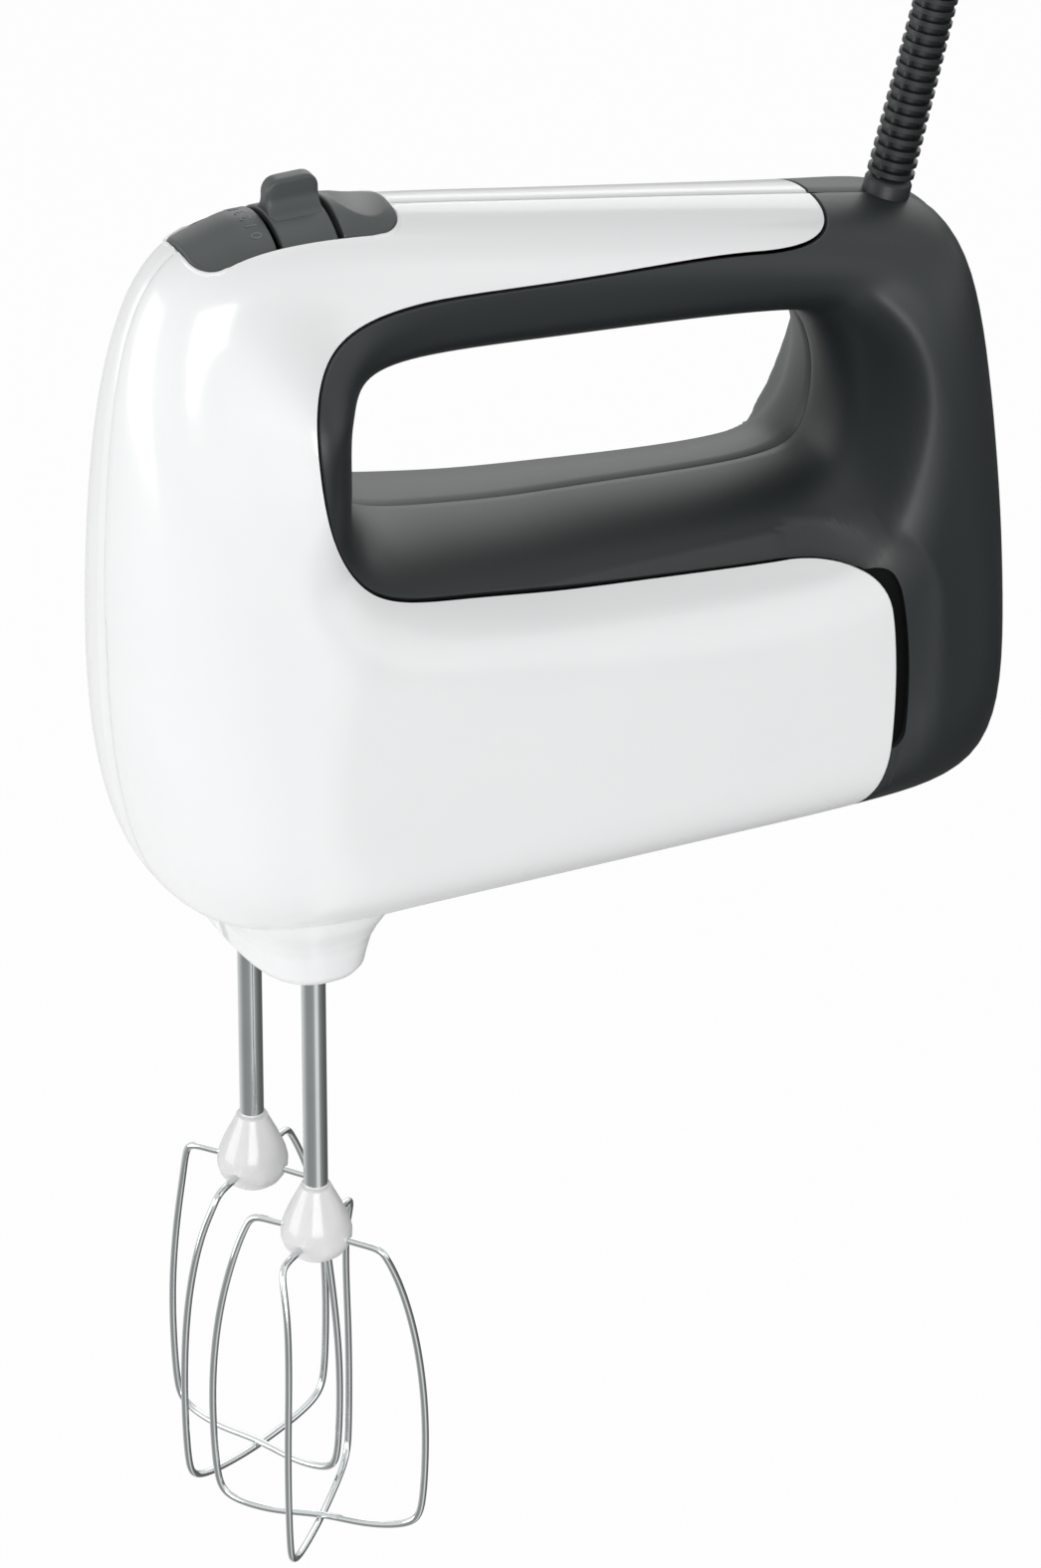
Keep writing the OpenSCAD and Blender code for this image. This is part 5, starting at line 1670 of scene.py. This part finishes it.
@dataclass
class Controls:
    """The dial panel with its digits, the speed selector and the turbo button.

    Sizes are in millimetres and angles in degrees. The paddle's rows are heights above the
    crown up to where its corners start to turn. The dimple is its middle's x and y, its half
    length and width, and its depth.
    """

    paddle_height: float = 6.6  # above the crown
    paddle_half: float = 1.8    # half its thickness
    paddle_reach: float = 5.6   # half its width
    fillet: float = 3.0         # its flare into the ring
    paddle_corner: float = 3.0  # radius of its upper corners
    paddle_edge: float = 0.8    # rounding of its top edges
    paddle_rows: tuple[float, ...] = (-0.6, 0.03, 0.15, 0.35, 0.65, 1.05, 1.55, 2.1, 2.55)
    paddle_power: float = 0.28  # exponent of its section
    corner_steps: int = 12      # faces round a corner
    skirt: float = 66.0         # the ring's half sweep
    sweep_rows: int = 66        # faces round the sweep
    ring_wall: float = 2.0      # the ring's thickness
    ring_round: float = 0.5     # rounding of its edges
    web_half: float = 1.0       # half the web's thickness
    web_foot: float = 2.5       # where it meets the hub
    hub_bore: float = 1.58
    hub_radius: float = 3.2
    turbo_foot: float = 13.2    # height of the turbo cap's lower edge
    corner_ease: float = 0.4    # rounding of the new corners of a clipped outline
    outline_points: tuple[int, int] = (600, 150)  # before and after the clip
    dimple: tuple[float, float, float, float, float] = (-50.0, 0.3, 5.6, 6.6, 1.1)
    digit_size: float = 3.4
    digit_x: float = -74.3      # where the digits stand
    digit_rise: float = 0.02    # their thickness
    digit_start: float = -27.5  # angle of the first digit
    digit_step: float = 11.0    # angle between two digits

    @staticmethod
    def _even(points: Sequence[Vector], count: int) -> list[Vector]:
        """Points spaced evenly round a closed outline, which keep its corners near.

        Args:
            points: the outline.
            count: how many points to make.

        Returns:
            The points.
        """
        points = [p for k, p in enumerate(points) if (p - points[k - 1]).length > MERGE]
        legs = [(b - a).length for a, b in zip(points, [*points[1:], points[0]])]
        total, spots, k, gone = sum(legs), [], 0, 0.0
        for n in range(count):
            target = total * n / count
            while gone + legs[k] < target:
                gone += legs[k]
                k += 1
            share = (target - gone) / legs[k]
            spots.append(points[k].lerp(points[(k + 1) % len(points)], share))
        return spots

    def _clipped(self, low: float, high: float) -> list[Vector]:
        """The opening's outline between two planes across it, with eased new corners.

        Args:
            low: place of the front plane.
            high: place of the rear plane.

        Returns:
            The outline, in millimetres.
        """
        ring, ease, edge = [], self.corner_ease, DECK.half - DECK.play
        fine, coarse = self.outline_points
        for p in self._even(DECK.outline(DECK.play, 24), fine):
            x = min(max(p.x, low), high)
            for plane, way in ((low, 1), (high, -1)):
                near = (x - plane) * way
                if near < ease and abs(p.y) > edge - 0.01:
                    p.y = math.copysign(edge - ease + math.sqrt(
                        max(0.0, ease ** 2 - (ease - near) ** 2)), p.y)
            ring.append(Vector((x, p.y, 0.0)))
        return self._even(ring, coarse)

    def _panel(self) -> bpy.types.Object:
        """The dial panel in front of the selector.

        Returns:
            The piece.
        """
        level = DECK.panel_rear - DECK.panel_level

        def top(x: float, y: float) -> float:
            """Crown that falls to the nose."""
            return DECK.crown(y, DECK.panel_fall, level - x)

        cap = Cap(self._clipped(-math.inf, DECK.panel_rear), top)
        return to_object(cap.mesh(), "dial_panel")

    def _turbo(self) -> bpy.types.Object:
        """The turbo button with its thumb dimple.

        Returns:
            The piece.
        """
        middle_x, middle_y, half_x, half_y, depth = self.dimple

        def top(x: float, y: float) -> float:
            """Crown that falls to the rear, less the dimple.

            Args:
                x: the place along the mixer.
                y: the place across it.

            Returns:
                The height.
            """
            height = DECK.crown(y, DECK.turbo_fall, x - DECK.turbo_front - DECK.turbo_level)
            q = math.hypot((x - middle_x) / half_x, (y - middle_y) / half_y)
            return height - depth * max(0.0, 1 - q ** 2)

        cap = Cap(self._clipped(DECK.turbo_front, math.inf), top, foot=self.turbo_foot)
        return to_object(cap.mesh(), "turbo_cap")

    def _sector(self, name: str, section: Sequence[Vector]) -> bpy.types.Object:
        """A section of (x, radius) swept round the crown's axis to both skirts.

        Args:
            name: the object's name.
            section: the section's points, in millimetres.

        Returns:
            The object.
        """
        count, rows = len(section), self.sweep_rows
        heart = Vector((sum(p.x for p in section) / count, sum(p.y for p in section) / count,
                        0.0))

        def surface(u: float, v: float) -> Vector:
            """Point of the swept shape.

            Args:
                u: share of the way round the sweep.
                v: share of the way round the section.

            Returns:
                The point, in metres.
            """
            row = round(u * (rows + 2))
            at = section[round(v * count) % count] if 0 < row < rows + 2 else heart
            angle = math.radians(self.skirt * (2 * min(max(row - 1, 0), rows) / rows - 1))
            return Vector((at.x, at.y * math.sin(angle),
                           DECK.axis_z + at.y * math.cos(angle))) * MM

        bm = mapped_grid(rows + 2, count, surface, Vector((0, 0, 1)))
        bmesh.ops.recalc_face_normals(bm, faces=bm.faces)
        return to_object(bm, name)

    def _paddle(self) -> bpy.types.Object:
        """The thumb paddle, flared at its foot.

        Returns:
            The object.
        """
        high, corner, edge = self.paddle_height, self.paddle_corner, self.paddle_edge
        heights = [*self.paddle_rows, self.fillet, high - corner]
        heights += [high - corner + corner * math.sin(math.radians(90 / self.corner_steps * k))
                    for k in range(1, self.corner_steps + 1)]
        middle = sum(DECK.selector) / 2

        def surface(u: float, v: float) -> Vector:
            """Point of the paddle.

            Args:
                u: share of the way round its section.
                v: share of the way up its heights.

            Returns:
                The point, in metres.
            """
            row = round(v * (len(heights) + 1))
            h = heights[min(max(row - 1, 0), len(heights) - 1)]
            half_y = self.paddle_half
            if h < self.fillet:
                rise = self.fillet - max(h, self.paddle_rows[1])
                half_y += self.fillet - math.sqrt(self.fillet ** 2 - rise ** 2)
            if h > high - edge:
                half_y -= edge - math.sqrt(max(0.0, edge ** 2 - (h - high + edge) ** 2))
            half_x = self.paddle_reach
            if h > high - corner:
                half_x -= corner - math.sqrt(max(0.0, corner ** 2 - (h - high + corner) ** 2))
            if row in (0, len(heights) + 1):
                half_x = half_y = 0.0
            angle = 2 * math.pi * u
            power = self.paddle_power
            x = half_x * math.copysign(abs(math.cos(angle)) ** power, math.cos(angle))
            y = half_y * math.copysign(abs(math.sin(angle)) ** power, math.sin(angle))
            z = DECK.crown(y * (1 - smooth(h / self.fillet))) + h
            return Vector((middle + x, y, z)) * MM

        bm = mapped_grid(96, len(heights) + 1, surface, Vector((0, 0, 1)))
        bmesh.ops.recalc_face_normals(bm, faces=bm.faces)
        return to_object(bm, "paddle")

    def _selector(self) -> bpy.types.Object:
        """The speed ring with its web, hub and paddle.

        Returns:
            The piece.
        """
        low, high = DECK.selector
        middle = (low + high) / 2
        ring = rounded_outline((low, DECK.radius - self.ring_wall, 0),
                               (high, DECK.radius, 0), self.ring_round, 4)
        web = rounded_outline((middle - self.web_half, self.web_foot, 0),
                              (middle + self.web_half, DECK.radius - self.ring_wall / 2, 0),
                              0.1, 1)
        made = self._sector("speed_ring", ring)
        bore, outer, length = self.hub_bore, self.hub_radius, high - low
        profile = [(bore, 0), (outer, 0), (outer, length), (bore, length), (bore, 0)]
        hub = column("hub", [(r * MM, z * MM) for r, z in profile],
                     Vector((low, 0, DECK.axis_z)) * MM, Vector((1, 0, 0)), 32)
        combine(made, [self._sector("web", web), hub, self._paddle()], "UNION")
        return made

    def _digits(self) -> bpy.types.Object:
        """The dial's plain numbers, bent to the panel's crown.

        Returns:
            The piece.
        """
        bm = bmesh.new()
        for number in range(6):
            face = bpy.data.curves.new("digit", "FONT")
            face.body = str(number)
            face.size = self.digit_size * MM
            face.extrude = self.digit_rise * MM
            face.align_x = "CENTER"
            face.align_y = "CENTER"
            text = bpy.data.objects.new("digit", face)
            bpy.context.scene.collection.objects.link(text)
            graph = bpy.context.evaluated_depsgraph_get()
            mesh = bpy.data.meshes.new_from_object(text.evaluated_get(graph))
            bpy.data.objects.remove(text)
            start = math.radians(self.digit_start + self.digit_step * number)
            for vert in mesh.vertices:
                angle = start + vert.co.x / MM / DECK.radius
                out = DECK.radius + vert.co.z / MM
                vert.co = Vector((self.digit_x - vert.co.y / MM, out * math.sin(angle),
                                  DECK.axis_z + out * math.cos(angle))) * MM
            bm.from_mesh(mesh)
        bmesh.ops.recalc_face_normals(bm, faces=bm.faces)
        return to_object(bm, "dial_digits", smooth=False)

    def build(self, paint: Paintbox) -> None:
        """Make and place the controls.

        Args:
            paint: the finishes.
        """
        grey_skin = paint.get("control_grey")
        for made, body, node in ((self._panel(), Body.SHELL, "control_panel"),
                                 (self._selector(), Body.SELECTOR, "speed_selector"),
                                 (self._turbo(), Body.TURBO, "turbo_button")):
            made.data.set_sharp_from_angle(angle=SOFT_SHARP)
            adopt(made, body, "control_grey", grey_skin, node)
        adopt(self._digits(), Body.SHELL, "control_grey", paint.get("dial_print"))


# ---- beaters -------------------------------------------------------------------------
@dataclass
class Beater:
    """The egg-shaped hub and the two crossed wire loops of one beater, in millimetres.

    A loop's rows are half of its outline, from the foot's middle up to its end in the hub, as
    (distance from the axis, height above that end). The hub's are (radius, height).
    """

    side: Side
    wire_radius: float = 0.75
    loop_scale: float = 22.5 / 24  # brings the loop's rows to size
    twist: float = 12.0            # lean of the loops round the axis, in degrees
    twist_top: float = 2.0         # height at which it starts, above the loop's end
    twist_height: float = 16.5     # height over which it builds up
    upper_lift: float = 1.7        # how far the upper loop crosses above the lower
    lift_reach: float = 9.0        # distance over which it is lifted
    hub_top: float = -192.0        # height of the hub's top
    exit_drop: float = 12.0        # from the hub's top to where the wires leave it
    turn: float = 37.0             # angle of the lower loop, in degrees
    loop: tuple[tuple[float, float], ...] = (
        (0, -70), (10, -69.5), (18, -68.5), (22.4, -66.5), (23.6, -62), (24.3, -52),
        (24.4, -38), (22.6, -22), (19.4, -9), (17, -1.5), (15.2, 0.8), (8, 0), (4, 0))
    hub_profile: tuple[tuple[float, float], ...] = (
        (2.5, 0.6), (2.6, 0.0), (3.1, 0.0), (3.3, -0.4), (3.6, -1.2), (4.4, -2.8), (5.3, -4.6),
        (6.2, -6.6), (6.95, -8.6), (7.35, -10.4), (7.3, -12.0), (6.8, -13.6), (5.8, -15.1),
        (4.4, -16.2), (2.6, -16.85), (0.0, -17.0))

    @property
    def body(self) -> Body:
        """The body that it rides on."""
        return Body.BEATER_LEFT if self.side is Side.LEFT else Body.BEATER_RIGHT

    @property
    def axis(self) -> Vector:
        """Top of the hub on the beater's axis."""
        return Vector((BEATER_X, self.side.value * BEATER_Y, self.hub_top)) * MM

    def build(self, paint: Paintbox) -> None:
        """Make the hub and its loops; the shaft is its own solid.

        Args:
            paint: the finishes.
        """
        hub = lathe([(r * MM, z * MM) for r, z in self.hub_profile], 56)
        bmesh.ops.translate(hub, verts=hub.verts, vec=self.axis)
        adopt(to_object(hub, f"egg_hub_{self.side.word}"), self.body, "hub_white",
              paint.get("hub_white"), f"beater_hub_{self.side.word}")
        foot = self.axis - Vector((0, 0, self.exit_drop * MM))
        for name, turn, lift in (("lower", self.turn, 0.0),
                                 ("upper", self.turn + 90, self.upper_lift)):
            half = [(x * self.loop_scale, z + lift * smooth(1 - abs(x) / self.lift_reach))
                    for x, z in self.loop]
            whole = [(-x, z) for x, z in reversed(half[1:])] + half
            points = []
            for x, z in whole:
                share = smooth((self.twist_top - z) / self.twist_height)
                angle = math.radians(turn - self.side.value * self.twist * share)
                points.append(foot + Vector((x * math.cos(angle), x * math.sin(angle), z)) * MM)
            loop = wire(f"{name}_wire_{self.side.word}", points, self.wire_radius * MM)
            adopt(loop, self.body, "wire_steel", paint.get("wire_steel"),
                  f"{name}_loop_{self.side.word}")


def main() -> None:
    """Build the mixer and its studio."""
    logging.basicConfig(level=logging.INFO, format="%(name)s: %(message)s")
    bpy.context.scene.view_settings.view_transform = "Standard"
    paint = Paintbox()
    studio = Studio()
    studio.camera()
    MainsLead().build(paint)
    studio.light()
    studio.floor()
    paint.dress_solids()
    Shells().build(paint)
    Controls().build(paint)
    for side in Side:
        Beater(side).build(paint)


if __name__ == "__main__":
    main()
